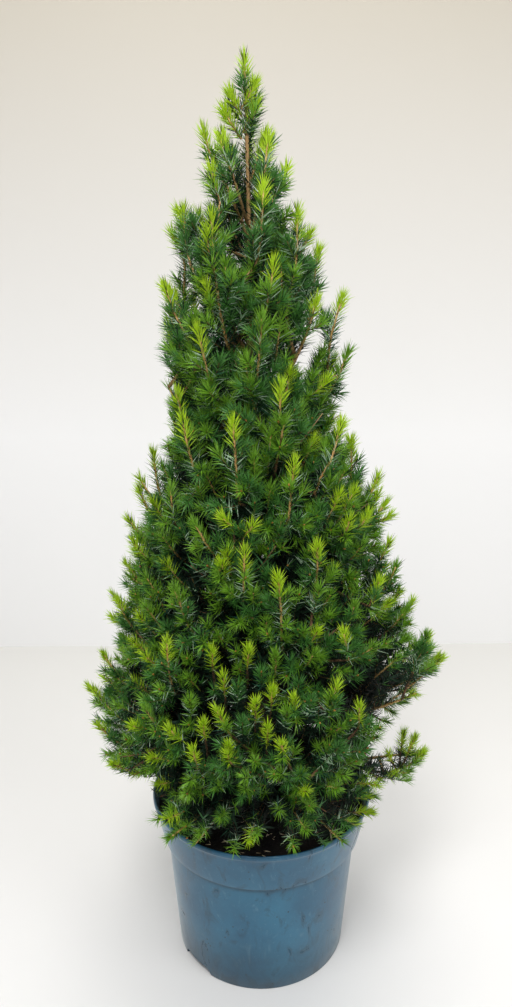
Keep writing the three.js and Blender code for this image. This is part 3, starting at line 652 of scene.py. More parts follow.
def side_path(path, from_tip, length, angle, turn):
    """The path of one side shoot, `from_tip` millimetres below its parent's tip."""
    run = lengths(path)
    at = np.searchsorted(run, run[-1] - from_tip).clip(1, len(path) - 1)
    direction, a, b = (way[at] for way in frame_along(path))
    side = a * math.cos(turn) + b * math.sin(turn)
    out = direction * math.cos(math.radians(angle)) + side * math.sin(math.radians(angle))
    start = along(path, [run[-1] - from_tip])[0]
    facing = (start - trunk_at(start[2] - 0.6 * crown_radius(start[2], 0))) * [1, 1, 0.7]
    low = 0.55 * np.clip((500 - start[2]) / 160, 0, 1)
    turned = out * (1 - low) + low * facing / np.linalg.norm(facing)
    end = start + length * (0.5 * out + 0.42 * turned + 0.16 * direction + np.array([0, 0, 0.05]))
    return spaced(bezier(start, start + 0.5 * length * out, end, 16), 9)


def fits(path):
    """Side shoots stay in the crown, out of its gaps, and clear of the pot."""
    outer = path[3:]
    return not (in_gap(outer, 7).any() or in_pot(outer, 3).any() or (depth_in_crown(outer) < 4).any()
                or under_skirt(outer).any())


def slim_shoot(path, new, rank, needles_from):
    return {"path": path, "new": new, "leading": False, "rank": rank, "needles_from": needles_from}


def grow_sides(parent, random, first, step, reach, shortest, gain, longest, rank):
    shoots = []
    total = lengths(parent["path"])[-1]
    turn = 2 * math.pi * random()
    from_tip = first * (0.8 + 0.4 * random())
    while from_tip < min(reach, 0.9 * total):
        length = min(longest, shortest + gain * (from_tip - first)) * (0.8 + 0.4 * random())
        angle = SIDE["angle"] + 14 * (random() - 0.5)
        for shorter in (1, 0.75, 0.5):
            path = side_path(parent["path"], from_tip, length * shorter, angle, turn)
            if fits(path):
                shoots.append(slim_shoot(path, length * shorter, rank, 3))
                break
        turn += math.radians(GOLDEN_ANGLE)
        from_tip += step * (0.75 + 0.5 * random())
    return shoots


def grow_shoots():
    random = seeded(SEED + 2)
    shoots = []
    for spire in spires:
        total = lengths(spire["path"])[-1]
        spire.update(rank=spire.get("rank", 1), needles_from=max(0, total - 135))
        shoots.append(spire)
        if spire.get("by_hand") and total < 70:
            continue
        sides = grow_sides(spire, random, SIDE["first"], SIDE["step"], SIDE["reach"], 12, 0.46, SIDE["longest"], 2)
        shoots += sides
        for side in sides:
            if side["new"] > 30:
                shoots += grow_sides(side, random, 11, 11, 30, 11, 0.3, 17, 3)
    return shoots


shoots = grow_shoots()
print(len(shoots), "shoots,", round(sum(lengths(s["path"])[-1] for s in shoots) / 1000, 1), "m of twig")

# %% [markdown]
# ## The inside of the crown
# Deep inside, old twigs still hold some needles, painted darker as shade the deeper they lie. Nobody sees them one
# by one, but without them light would fall right through the crown. The limbs' own stems and short twigs along
# them fill that space thinly.

# %% Inner twigs
FILLING = 4  # the rank of a twig that only fills the inside
SHORTER = {"leader": 3, "upper_3": 32, "low_1": 30, "skirt_6": 34}  # where these stems end before their tips
INNER = {"spacing": 12, "shortest": 34, "longest": 66, "length": 54}
# Depth under the surface, how many twigs, their first azimuth and highest tip, and their rank.
SHELLS = [(19, 300, 50, 640, 3), (38, 330, 20, 610, 4), (60, 190, 80, 590, 4), (88, 60, 140, 540, 4)]


def grow_inner():
    random = seeded(SEED + 3)
    shoots = []
    for limb in limbs:
        start = 0.35 * limb["bare"] * limb["length"]
        path = along(limb["path"], np.linspace(start, limb["length"] - SHORTER.get(limb["name"], BRUSH), 40))
        stem = {"path": path, "new": 0.8 * spray_length(limb["height"]), "leading": True, "rank": 1,
                "needles_from": max(0, lengths(path)[-1] - 120), "limb": limb}
        if limb["name"] == "leader":
            stem["needles_from"] = lengths(path)[-1] - 180
        shoots.append(stem)
        shoots += grow_sides(stem, random, SIDE["first"], SIDE["step"], SIDE["reach"], 14, 0.4, SIDE["longest"], 2)
        reach = limb["length"] - start
        from_tip, turn = 40.0, 2 * math.pi * random()
        while from_tip < reach:
            length = INNER["shortest"] + (INNER["longest"] - INNER["shortest"]) * random()
            twig = side_path(path, from_tip, length, 60, turn)
            if fits(twig) and twig[-1][2] < 640 and limb is not limbs[0]:
                shoots.append(slim_shoot(twig, 0, FILLING, 4))
            turn += math.radians(GOLDEN_ANGLE)
            from_tip += INNER["spacing"] * (0.7 + 0.6 * random())
    for height in np.arange(250, 640, 8):
        axis = np.array([trunk_at(height + 14), trunk_at(height), trunk_at(height - 14)])[::-1]
        length = min(62, 0.7 * crown_radius(height, 0)) * (0.7 + 0.5 * random())
        twig = side_path(spaced(axis, 9), 14, length, 58, 2 * math.pi * random())
        if fits(twig):
            shoots.append(slim_shoot(twig, 0, FILLING, 6))
    for depth, count, first, highest, rank in SHELLS:
        for i in range(count):
            height = 204 + (highest - 204) * ((i + 0.5) / count) ** 1.25
            azimuth = first + GOLDEN_ANGLE * i
            end = crown_point(height, azimuth, min(depth, 0.6 * crown_radius(height, azimuth)))
            foot = end - 40 * shoot_direction(height, azimuth)
            path = spaced(bezier(root_on_stem(foot)[1], foot, end, 40), 20)
            path = path[~in_pot(path, 2)]
            if len(path) > 6 and not in_gap(path, 5).any():
                bare = max(2, lengths(path)[-1] - INNER["length"])
                shoots.append(slim_shoot(path, 30 if rank == 3 else 0, rank, bare))
    return shoots


inner = grow_inner()
shoots += inner
print(len(inner), "inner twigs and stems")

# %% [markdown]
# ## Needles
# A needle of this spruce is about 12 mm long and not quite 1 mm thick, with a point. They stand
# round the twig one golden angle after another and lean forwards, most of all at the tip, where
# they close into a brush. As one needle is repeated more than a hundred thousand times, it has
# only six faces: a long three-sided double pyramid. Deeper in the crown, or where it is dark, it
# has four. They are a little thicker than life, because there are fewer of them.

# %% Needles
NEEDLE = {"length": 11.8, "width": 0.98, "per_mm": 2.35, "old_per_mm": 1.1, "lean": 63, "belly": 0.35}
CROWDING = ((8, 2.0), (15, 1.3))  # within so many millimetres of the tip, needles stand this much closer
THINNING = {"from": 22, "over": 26, "most": 0.6}  # fewer needles where nobody sees them
FILLING_SHARE, BY_HAND_SHARE = 0.34, 1.4  # how many needles a filling twig or a shoot given one by one has
TIP_LEAN = {1: 24, 2: 36, 3: 38, 4: 40}  # by rank: a leading shoot ends in a brush, a side shoot in a star
DARK_NEEDLE = {"length": 1.15, "width": 2.1}  # how much larger the filling is
# pale is a painted highlight, with some of the needles' whitish wax bands; dark is painted shade and also old
# needles; deep is painted shade deep in the crown
TINTS = {  # plain colours, dealt out by spray
    "lime": "#A9CC22", "leaf": "#6F9F29", "fresh": "#467B33", "grass": "#356935", "blue": "#33684F",
    "pale": "#B4D0B0", "dark": "#102E1A", "deep": "#06130A"}
TINT_NAMES = list(TINTS)


def needles_of(shoot, random, rng):
    """Base, direction, length, width and tint of every needle on one shoot."""
    path = shoot["path"]
    run = lengths(path)
    total = run[-1]
    filling = shoot["rank"] == FILLING
    spots = []
    at = shoot["needles_from"]
    hidden = np.clip((depth_in_crown(path) - THINNING["from"]) / THINNING["over"], 0, 1)
    while at < total:
        age = total - at
        share = 1.0 if age < shoot["new"] + 8 else NEEDLE["old_per_mm"] / NEEDLE["per_mm"]
        share *= 1 - THINNING["most"] * np.interp(at, run, hidden)
        share = FILLING_SHARE if filling else share * (BY_HAND_SHARE if shoot.get("by_hand") else 1)
        closer = next((times for reach, times in CROWDING if age < reach), 1.0)
        at += 1 / (NEEDLE["per_mm"] * share * closer)
        spots.append(min(at, total - 0.01))
    spots = np.array(spots)
    if len(spots) == 0:
        return None
    count = len(spots)
    age = total - spots
    base = along(path, spots)
    direction, a, b = (np.stack([np.interp(spots, run, way[:, i]) for i in range(3)], -1)
                       for way in frame_along(path))
    turn = math.radians(GOLDEN_ANGLE) * np.arange(count) + 2 * math.pi * random() + 0.5 * rng.normal(size=count)
    side = a * np.cos(turn)[:, None] + b * np.sin(turn)[:, None]
    closing = np.exp(-(age / (15 if shoot["leading"] else 8)) ** 1.6)
    lean = NEEDLE["lean"] + (TIP_LEAN[shoot["rank"]] - NEEDLE["lean"]) * closing
    lean = lean + (6 + 7 * closing) * rng.normal(size=count) + (8 if filling else 0)
    lean = np.radians(lean)[:, None]
    way = direction * np.cos(lean) + side * np.sin(lean) + np.array([0, 0, 0.16])
    way /= np.linalg.norm(way, axis=1, keepdims=True)
    longer = np.interp(path[-1][2], [350, 620], [0.97, 1.16])  # needles are longer towards the top
    length = NEEDLE["length"] * longer * (0.92 + 0.2 * rng.random(count))
    width = NEEDLE["width"] * (0.9 + 0.2 * rng.random(count))
    tint = tint_of(shoot, age, depth_in_crown(base), random, rng)
    if filling:
        length, width = length * DARK_NEEDLE["length"], width * DARK_NEEDLE["width"]
    tips = base + way * length[:, None]
    good = ~in_pot(tips)
    if not shoot.get("proud"):
        good &= ~(in_gap(tips) | in_gap(base))
    if not shoot.get("by_hand"):
        good &= ~under_skirt(tips)
    if shoot["rank"] > 1:
        good &= depth_in_crown(tips) > (22 if filling else -7)
    if filling:
        good &= (np.hypot(tips[:, 0], tips[:, 1]) < 88) | (tips[:, 2] > 222)
    simple = np.full(count, filling) | (depth_in_crown(base) > 13) | (tint == TINT_NAMES.index("dark"))
    return [values[good] for values in (base, way, length, width, tint, simple)]


def tint_of(shoot, age, depth, random, rng):
    """Young tips are lime, this year's shoots green and old needles dark. Pale needles near the surface are a
    painted highlight, some needles are dark as painted shade, and what lies deeper is painted darker as shade.
    """
    number = {name: i for i, name in enumerate(TINT_NAMES)}
    tuft, pick = 15 + 6 * random(), random()
    if shoot["leading"]:
        young, main = (number["lime"] if pick < 0.85 else number["leaf"]), number["fresh"]
    elif shoot["rank"] == 1:
        young = number["lime"] if pick < 0.35 else number["leaf"]
        main = number["fresh"] if pick > 0.6 else number["grass"]
    else:
        young, main = (number["leaf"] if pick < 0.5 else number["fresh"]), number["grass"]
        tuft *= 0.6
    if random() < np.interp(shoot["path"][-1][2], [250, 700], [0.5, 0.05]):  # bluer towards the foot
        main = number["blue"]
    tint = np.full(len(age), main)
    chance = rng.random(len(age))
    # Painted highlight: a pale copy of needles near the surface, with some of the whitish wax bands of real
    # needles.
    tint[(chance > 0.78) & (depth < 46)] = number["pale"]
    # Painted shade: a third of the needles are dark, as shade between neighbours.
    tint[chance < 0.33] = number["dark"]
    near_tuft = (age < 2 * tuft) & (chance > 0.5) & (chance < 0.78)
    tint[near_tuft] = number["leaf"] if shoot["leading"] else number["fresh"]
    tint[(age > shoot["new"]) & (depth > 6)] = number["dark"]
    # Painted shade: needles deeper in the crown are dark, and the deepest are near black.
    tint[depth > 36 + 8 * rng.normal(size=len(age))] = number["dark"]
    tint[depth > 58 + 8 * rng.normal(size=len(age))] = number["deep"]
    tint[(age < tuft + 3 * rng.normal(size=len(age))) & (depth < 40) & (chance > 0.12)] = young
    if shoot["rank"] == FILLING:
        # Painted shade: filling needles are darker the deeper they lie.
        tint[:] = np.select([depth < 31, depth < 44], [number["grass"], number["dark"]], number["deep"])
    return tint


random = seeded(SEED + 4)
rng = np.random.default_rng(SEED)
found = [values for shoot in shoots if (values := needles_of(shoot, random, rng)) is not None]
base, way, length, width, tint, simple = (np.concatenate([f[i] for f in found]) for i in range(6))
print(len(base), "needles")


# %% Needles as meshes
def across(directions):
    """Two directions across each of many directions."""
    a = np.cross(directions, [0.37, 0.21, -0.9])
    a /= np.linalg.norm(a, axis=1, keepdims=True)
    return a, np.cross(directions, a)


def needle_arrays(base, way, length, width, simple):
    """Corners and faces of many needles: a double pyramid each, or one pyramid if they are simple."""
    a, b = across(way)
    count = len(base)
    turns = np.radians([0, 120, 240])
    ring = a[:, None] * np.cos(turns)[:, None] + b[:, None] * np.sin(turns)[:, None]
    middle = base + way * (length * (0.0 if simple else NEEDLE["belly"]))[:, None]
    ring = middle[:, None] + ring * (width / 2)[:, None, None]
    tip = (base + way * length[:, None])[:, None]
    if simple:
        corners, each = np.concatenate([ring, tip], 1), [(3, 0, 1), (3, 1, 2), (3, 2, 0), (0, 2, 1)]
    else:
        corners = np.concatenate([ring, tip, base[:, None]], 1)
        each = [(3, 0, 1), (3, 1, 2), (3, 2, 0), (4, 1, 0), (4, 2, 1), (4, 0, 2)]
    size = corners.shape[1]
    faces = np.array(each)[None] + size * np.arange(count)[:, None, None]
    return corners.reshape(-1, 3), faces.reshape(-1, 3)


MOST_FACES = 190_000


def joined_kind(name, parts, material, slot, replaced, smooth=False):
    """Joins arrays of corners and faces of one kind into pieces of under MOST_FACES faces."""
    group, faces_in_group, number = [], 0, 1
    for part in [*parts, None]:
        if part is None or (faces_in_group + len(part[1]) > MOST_FACES and group):
            offsets = np.cumsum([0] + [len(corners) for corners, _ in group])
            corners = np.concatenate([corners for corners, _ in group])
            faces = np.concatenate([faces + start for (_, faces), start in zip(group, offsets)])
            piece = joined_mesh(f"{name}_{number}", corners, faces, material, smooth)
            keep(piece, slot, *replaced)
            group, faces_in_group, number = [], 0, number + 1
        if part is not None:
            group.append(part)
            faces_in_group += len(part[1])


# %% [markdown]
# ## Needle colours
# Needles have a waxy skin with a soft gloss, so they get a fairly low roughness and the IOR of wax and plant skin.
# Every tint is one plain colour on its own joined piece: the eye reads the play of lime tips, green shoots and
# dark old needles, of pale needles painted as highlights, and of dark and deep ones painted as shade. No pattern
# is needed on a shape that is one millimetre wide.

# %% Needle pieces
for number, (name, colour) in enumerate(TINTS.items()):
    gloss = 0.7 if name in ("dark", "deep") else 0.42  # old needles are dull with dust, and so are the dark and deep needles painted as shade
    material = start_material(f"waxy_needle_{name}", Base_Color=linear(colour), Roughness=gloss, IOR=1.4)[0]
    parts = []
    for plain in (False, True):
        chosen = (tint == number) & (simple == plain)
        for rows in np.array_split(np.flatnonzero(chosen), max(1, chosen.sum() // 4000)):
            if len(rows):
                parts.append(needle_arrays(base[rows], way[rows], length[rows], width[rows], plain))
    if parts:
        joined_kind(f"needles_{name}", parts, material, "needles", masses)

# %% [markdown]
# ## Twigs and buds
# This year's shoots have tan skin with an orange glow, and older twigs are brown and rough. Both
# are tapering tubes along the paths of the shoots, four sides each, as a twig is only two
# millimetres thick. Buds at the ends of the side shoots are small brown ovals.

# %% Twigs
def tube_arrays(path, radii, sides):
    """Corners and faces of a closed tube along a path, pointed at its end."""
    direction, a, b = frame_along(path)
    turns = np.arange(sides) * 2 * math.pi / sides
    ring = a[:, None] * np.cos(turns)[:, None] + b[:, None] * np.sin(turns)[:, None]
    corners = (path[:, None] + ring * np.asarray(radii)[:, None, None]).reshape(-1, 3)
    corners = np.vstack([corners, path[:1] - direction[:1] * 0.2, path[-1:] + direction[-1:] * radii[-1]])
    foot, tip = len(corners) - 2, len(corners) - 1
    faces = []
    for level in range(len(path) - 1):
        for side in range(sides):
            p, q = level * sides + side, level * sides + (side + 1) % sides
            faces += [(p, q, q + sides), (p, q + sides, p + sides)]
    last = (len(path) - 1) * sides
    for side in range(sides):
        after = (side + 1) % sides
        faces += [(foot, after, side), (tip, last + side, last + after)]
    return corners, np.array(faces)


def twig_radius(shoot, from_tip):
    """Thicker with age, and side shoots are thinner than the shoot that carries them."""
    if "limb" in shoot:
        share = 1 - from_tip / lengths(shoot["limb"]["path"])[-1]
        return np.minimum(limb_radius(shoot["limb"], share.clip(0, 1)), 0.8 + 0.02 * from_tip)
    slim = {1: 1.05, 2: 0.6, 3: 0.45, 4: 0.6}[shoot["rank"]] + (0.25 if shoot["leading"] else 0)
    return slim * (0.72 + 0.0062 * from_tip)


def bud_arrays(tip, direction, size):
    path = tip + direction * np.array([[-0.2], [0.8], [1.9]]) * size
    return tube_arrays(path, np.array([0.55, 0.95, 0.6]) * size, 5)


young_twigs, side_twigs, old_twigs, buds = [], [], [], []
random = seeded(SEED + 5)
for shoot in shoots:
    path = shoot["path"]
    total = lengths(path)[-1]
    start = 0.0 if shoot["rank"] > 1 else max(0.0, total - 190)
    joint = max(start, total - shoot["new"])
    if total - joint > 6:
        spots = np.linspace(joint, total - 1, max(3, int((total - joint) / 12)))
        twigs = young_twigs if shoot["rank"] == 1 else side_twigs
        twigs.append(tube_arrays(along(path, spots), twig_radius(shoot, total - spots), 4))
    if joint - start > 4:
        spots = np.linspace(start, joint + 0.5, max(3, int((joint - start) / 14)))
        old_twigs.append(tube_arrays(along(path, spots), twig_radius(shoot, total - spots), 4))
    if shoot["rank"] in (2, 3) and path[-1][2] < 600 and depth_in_crown(path[-1]) < 40 and random() < 0.4:
        direction = frame_along(path)[0][-1]
        buds.append(bud_arrays(path[-1], direction, 0.85 + 0.3 * random()))


# %% Twig and bud materials
def skin_of_twig(name, low, high, roughness, top=None):
    """Twig skin: two tones in patches of a few millimetres, with a grain that catches the light.
    Near the top of the plant, where even the old twigs are young, it may turn to a third tone."""
    material, tree, shader = start_material(name, Roughness=roughness, IOR=1.45)
    place = object_place(tree)
    patches = noise_at(tree, place, 260.0, Detail=3.0)
    colour = blend_colours(tree, steps(tree, patches, 0.35, 0.65), low, high)
    if top:
        up = height_of(tree, place)
        colour = blend_colours(tree, steps(tree, up, 0.52, 0.66), colour, top)
    tree.links.new(colour, shader.inputs["Base Color"])
    press(tree, shader, noise_at(tree, place, 900.0, Detail=2.0), 0.5, 0.0003)
    return material


for name, tubes, *skin in (
        ("young_twigs", young_twigs, "tan_skin_of_young_spruce_shoot", "#A67C42", "#D2AE70", 0.5),
        ("side_twigs", side_twigs, "olive_skin_of_slim_spruce_shoot", "#5F4A24", "#86703A", 0.55),
        ("old_twigs", old_twigs, "brown_skin_of_old_spruce_twig", "#4A3424", "#7A5B3D", 0.75, "#B08D5E"),
        ("buds", buds, "resinous_bud_scales", "#8A5A24", "#BC863E", 0.4)):
    joined_kind(name, tubes, skin_of_twig(*skin), "bark", masses, smooth=True)

# %% [markdown]
# ## Trunk and boughs
# Spruce bark is thin, brown-grey and flaky. The relief could be only bump in the material, but
# then the meshes themselves would be smooth pipes, so the flakes are pressed into the mesh as
# well: every corner moves in or out by the value of a noise that is stretched along the trunk.

# %% Bark
def bark_arrays(path, radii, sides, relief, grain):
    """A tube whose skin has flakes and ridges, in millimetres."""
    corners, faces = tube_arrays(path, radii, sides)
    count = len(path) * sides
    centres = np.repeat(path, sides, axis=0)
    for i in range(count):
        x, y, z = corners[i]
        ridge = noise.noise(Vector((x / grain, y / grain, z / (3 * grain))))
        flake = noise.noise(Vector((x, y, z)) * (1.7 / grain))
        corners[i] += (corners[i] - centres[i]) / max(radii[i // sides], 0.1) * relief * (ridge + 0.5 * flake)
    return corners, faces


heights = np.concatenate([np.linspace(GROUND - 3, 215, 34), np.linspace(217, 716, 190)])
bark = [bark_arrays(trunk_at(heights), trunk_radius(np.maximum(heights, GROUND)), 28, 0.7, 4.5)]
for limb in limbs:
    if limb["bare"]:
        shares = np.linspace(0, limb["bare"] * 1.02, 26)
        path = along(limb["path"], limb["length"] * shares)
        bark.append(bark_arrays(path, limb_radius(limb, shares), 12, 0.35, 3.0))

material, tree, shader = start_material("flaky_spruce_bark", Roughness=0.88, IOR=1.45)
place = object_place(tree)
stretched = add(tree, "ShaderNodeMapping", {"Vector": place, "Scale": (1.0, 1.0, 0.35)}).outputs[0]
# Flakes are 3 to 5 mm across: a scale of 260 puts about four of them on a centimetre.
flakes = add(tree, "ShaderNodeTexVoronoi", {"Vector": stretched, "Scale": 260.0},
             feature="DISTANCE_TO_EDGE").outputs[0]
tone = noise_at(tree, stretched, 110.0, Detail=5.0)
brown = blend_colours(tree, steps(tree, tone, 0.35, 0.65), "#4A3526", "#7E6247")
flaky = blend_colours(tree, steps(tree, flakes, 0.0, 0.09), "#2A1C13", brown)
up = height_of(tree, place)
colour = blend_colours(tree, steps(tree, up, 0.55, 0.66), flaky, "#B8976A")  # the young top is tan and smooth
tree.links.new(colour, shader.inputs["Base Color"])
press(tree, shader, steps(tree, flakes, 0.0, 0.15), 0.6, 0.0006)
joined_kind("bark", bark, material, "bark", ["trunk", *boughs], smooth=True)

# %% [markdown]
# ## The pot
# A nursery pot is moulded of polypropylene: a tapering wall, a broad band under the rim, a rolled
# bead at the top, and a foot ring with a notch on either side for the water to run out. All of it
# is round, so its profile is spun, with small radii where the mould has them. The notches and the
# drain holes are cut from the spun shape with a Boolean modifier.

# %% Pot mesh
POT_PROFILE = [  # radius and height, from the middle of the underside, round the rim, to the inner floor
    (0, 0), (20, 0), (40, 0), (57.0, 0), (58.2, 0.7), (60.6, 7.2), (61.8, 8), (72, 8), (83.4, 8),
    (84.6, 7.2), (85.5, 0.9), (86.4, 0), (88.9, 0), (89.8, 0.5), (90.2, 1.6), (91.5, 18), (92.9, 36),
    (94.6, 56), (96.2, 76), (97.8, 96), (99.4, 116), (100.7, 130), (100.9, 132.2), (101.2, 133.4),
    (102.0, 134.0), (104.7, 134.2), (105.5, 134.7), (105.9, 136.0), (107.0, 141), (109.1, 151),
    (111.1, 161), (113.0, 170.5), (113.6, 173.6), (114.2, 174.4), (115.1, 175.0), (115.6, 176.2),
    (115.6, 178.0), (115.2, 179.3), (114.4, 179.9), (113.7, 179.9), (113.1, 179.2), (112.8, 178.0),
    (111.9, 173.5), (109.7, 163), (107.0, 150), (104.6, 139.2), (104.0, 137.7), (103.0, 137.0),
    (99.9, 136.6), (99.1, 135.9), (98.7, 134.5), (98.3, 130), (94.7, 86), (90.6, 36), (88.6, 12.4),
    (87.6, 11.2), (74, 11), (59, 11), (57.6, 10.2), (55.0, 3.8), (53.8, 3), (30, 3), (0, 3)]
POT_SIDES = 160


def lathe(profile, sides):
    """Corners and faces of a profile spun round Z; a point on the axis becomes one pole."""
    corners, rings = [], []
    for radius, height in profile:
        if radius == 0:
            rings.append([len(corners)] * sides)
            corners.append((0, 0, height))
        else:
            rings.append(list(range(len(corners), len(corners) + sides)))
            turns = [2 * math.pi * i / sides for i in range(sides)]
            corners += [(radius * math.cos(turn), radius * math.sin(turn), height) for turn in turns]
    faces = []
    for low, high in zip(rings[:-1], rings[1:]):
        for i in range(sides):
            j = (i + 1) % sides
            faces.append(list(dict.fromkeys([low[i], low[j], high[j], high[i]])))
    return corners, faces


def mesh_object(name, corners, faces):
    """An object from plain lists, with corners in millimetres."""
    mesh = bpy.data.meshes.new(name)
    mesh.from_pydata([(x * MM, y * MM, z * MM) for x, y, z in corners], [], faces)
    mesh.update()
    made = bpy.data.objects.new(name, mesh)
    bpy.context.scene.collection.objects.link(made)
    return made


def prism(name, outline, start, end, azimuth):
    """A bar with the outline (sideways, height) that runs outwards from start to end."""
    turn = math.radians(azimuth)
    corners = [(r * math.cos(turn) - s * math.sin(turn), r * math.sin(turn) + s * math.cos(turn), z)
               for r in (start, end) for s, z in outline]
    n = len(outline)
    faces = [list(range(n)), list(range(2 * n - 1, n - 1, -1))]
    faces += [[i, i + n, (i + 1) % n + n, (i + 1) % n] for i in range(n)]
    return mesh_object(name, corners, faces)


def face_outwards(made):
    """Turns every face of a closed shape outwards."""
    shape = bmesh.new()
    shape.from_mesh(made.data)
    bmesh.ops.recalc_face_normals(shape, faces=shape.faces)
    shape.to_mesh(made.data)
    shape.free()


def apply_modifiers(piece):
    """Puts what a piece's modifiers make of it in place of its mesh."""
    bpy.context.view_layer.update()
    evaluated = piece.evaluated_get(bpy.context.evaluated_depsgraph_get())
    plain = bpy.data.meshes.new_from_object(evaluated)
    piece.modifiers.clear()
    piece.data = plain


def cut(piece, cutters):
    """Cuts the cutters from a piece and leaves a plain mesh."""
    for cutter in cutters:
        face_outwards(cutter)
        modifier = piece.modifiers.new("cut", "BOOLEAN")
        modifier.operation, modifier.object, modifier.solver = "DIFFERENCE", cutter, "EXACT"
    apply_modifiers(piece)
    for cutter in cutters:
        bpy.data.objects.remove(cutter)


pot = mesh_object("nursery_pot", *lathe(POT_PROFILE, POT_SIDES))
NOTCH = [(-21, -3), (21, -3), (20.6, 1.5), (18.6, 5.0), (15.5, 7.2), (12, 8), (-14.5, 8), (-18, 7.4),
         (-20, 5.4), (-21, 2)]
DRAIN = {"count": 6, "radius": 5, "ring": 73}
cutters = [prism("notch", NOTCH, 81, 96, azimuth) for azimuth in (-139, 41)]
for i in range(DRAIN["count"]):
    turn = math.radians(60 * (i + 0.5))
    ring = [(DRAIN["radius"] * math.cos(a), DRAIN["radius"] * math.sin(a)) for a in np.arange(12) * math.pi / 6]
    x, y = DRAIN["ring"] * math.cos(turn), DRAIN["ring"] * math.sin(turn)
    corners = [(x + u, y + v, z) for z in (4, 16) for u, v in ring]
    faces = [list(range(11, -1, -1)), list(range(12, 24))]
    faces += [[j, (j + 1) % 12, (j + 1) % 12 + 12, j + 12] for j in range(12)]
    cutters.append(mesh_object("drain", corners, faces))
cut(pot, cutters)
print("pot", len(pot.data.polygons), "faces")

# %% [markdown]
# ## The pot's plastic
# Polypropylene comes out of the mould with a satin skin. Handling and watering leave it cloudy: broad pale smears
# run round the wall, fine scuffs lie across them, and specks of soil stick here and there. Under the band a thin
# dark line is painted shadow with some dirt, and towards the foot the wall is painted darker as shade. Gloss
# differs with the smears and scuffs, so the same patterns drive colour and roughness. All of it reads object
# coordinates, so nothing slides when the view changes.

# %% Pot material
material, tree, shader = start_material("satin_polypropylene", IOR=1.5, Sheen_Weight=0.36, Sheen_Roughness=0.35)
shader.inputs["Sheen Tint"].default_value = linear("#DCE4E6")  # a film of dust, which shows along the edges
place = object_place(tree)
height = height_of(tree, place)
# Clouds are 5 to 8 cm wide, rubbed marks about 1 cm, scuffs 2 mm, and specks of soil under 1 mm.
clouds = noise_at(tree, place, 15.0, Detail=4.0, Roughness=0.55)
slanted = add(tree, "ShaderNodeMapping", {"Vector": place, "Scale": (1.0, 1.0, 0.45),
                                          "Rotation": (0.5, 0.6, 0.0)}).outputs[0]
rubs = noise_at(tree, slanted, 55.0, Detail=7.0, Roughness=0.62, Distortion=1.2)
scuffs = noise_at(tree, place, 420.0, Detail=4.0, Roughness=0.7)
blue = blend_colours(tree, steps(tree, clouds, 0.36, 0.66), "#1D5370", "#2C6B88")
darker = blend_colours(tree, steps(tree, rubs, 0.47, 0.34, 0.0, 0.62), blue, "#16394B")
paler = blend_colours(tree, steps(tree, rubs, 0.58, 0.74, 0.0, 0.5), darker, "#6A8E9E")
fine = blend_colours(tree, steps(tree, scuffs, 0.62, 0.74, 0.0, 0.3), paler, "#93AAB4")
# A thin dark line in the corner under the band is painted shadow with some dirt, and the wall is painted darker
# towards the foot as shade; both come in patches. Specks of dirt stick here and there.
# Painted shadow with some dirt: a thin line in the corner under the band.
corner = reckon(tree, "MULTIPLY", steps(tree, height, 0.1265, 0.1325), steps(tree, height, 0.1356, 0.1346))
# Painted shade: darker towards the foot.
shade_and_grime = reckon(tree, "ADD", corner, steps(tree, height, 0.07, 0.0, 0.0, 0.9))
patchy_shade_and_grime = reckon(tree, "MULTIPLY", shade_and_grime, steps(tree, rubs, 0.35, 0.6, 0.35, 0.9))
# The dark blue-grey here is the colour of the painted shade and the dirt.
shaded_and_grimy = blend_colours(tree, patchy_shade_and_grime, fine, "#1C2E38")
specks = add(tree, "ShaderNodeTexVoronoi", {"Vector": place, "Scale": 210.0}).outputs[0]
sparse = noise_at(tree, place, 45.0, Detail=3.0)
dirt = reckon(tree, "MULTIPLY", steps(tree, specks, 0.2, 0.13), steps(tree, sparse, 0.6, 0.64))
tree.links.new(blend_colours(tree, dirt, shaded_and_grimy, "#1E1A17"), shader.inputs["Base Color"])
tree.links.new(steps(tree, rubs, 0.3, 0.7, 0.26, 0.42), shader.inputs["Roughness"])
press(tree, shader, scuffs, 0.15, 0.0003)
pot.data.materials.clear()
pot.data.materials.append(material)
pot.data.polygons.foreach_set("use_smooth", [True] * len(pot.data.polygons))
pot.data.set_sharp_from_angle(angle=math.radians(40))
keep(pot, "pot_plastic", "pot")

# %% [markdown]
# ## The soil
# Potting soil is black peat with crumbs, pale bits of straw and root. The soil is a spun plug whose
# top is heaved by noise. Crumbs and straw repeat by the hundred and lie on a surface, which is
# what Geometry Nodes are for: points are strewn over the top, and one small shape stands on each.

# %% Soil mesh
SOIL_RADIUS = 108.9
soil_profile = [(0, 152), (SOIL_RADIUS - 3.5, 152), (SOIL_RADIUS - 1.2, 160)]
soil_profile += [(radius, 165.2 + 5 * (1 - radius / SOIL_RADIUS)) for radius in np.linspace(SOIL_RADIUS, 3, 52)]
soil_profile.append((0, 170.3))
corners, faces = lathe(soil_profile, 150)
heaved = []
for x, y, z in corners:
    if z > 160:
        spot = Vector((x, y, 0))
        z += 2.0 * noise.noise(spot / 14) + 1.1 * noise.noise(spot / 5) + 0.6 * noise.noise(spot / 2.2)
    heaved.append((x, y, z))
soil = mesh_object("potting_soil", heaved, faces)
soil.data.polygons.foreach_set("use_smooth", [True] * len(faces))
print("soil", len(faces), "faces, up to", round(max(z for _, _, z in heaved), 1), "mm")

# %% Soil materials
peat, tree, shader = start_material("black_peat", Roughness=0.95, IOR=1.4)
place = object_place(tree)
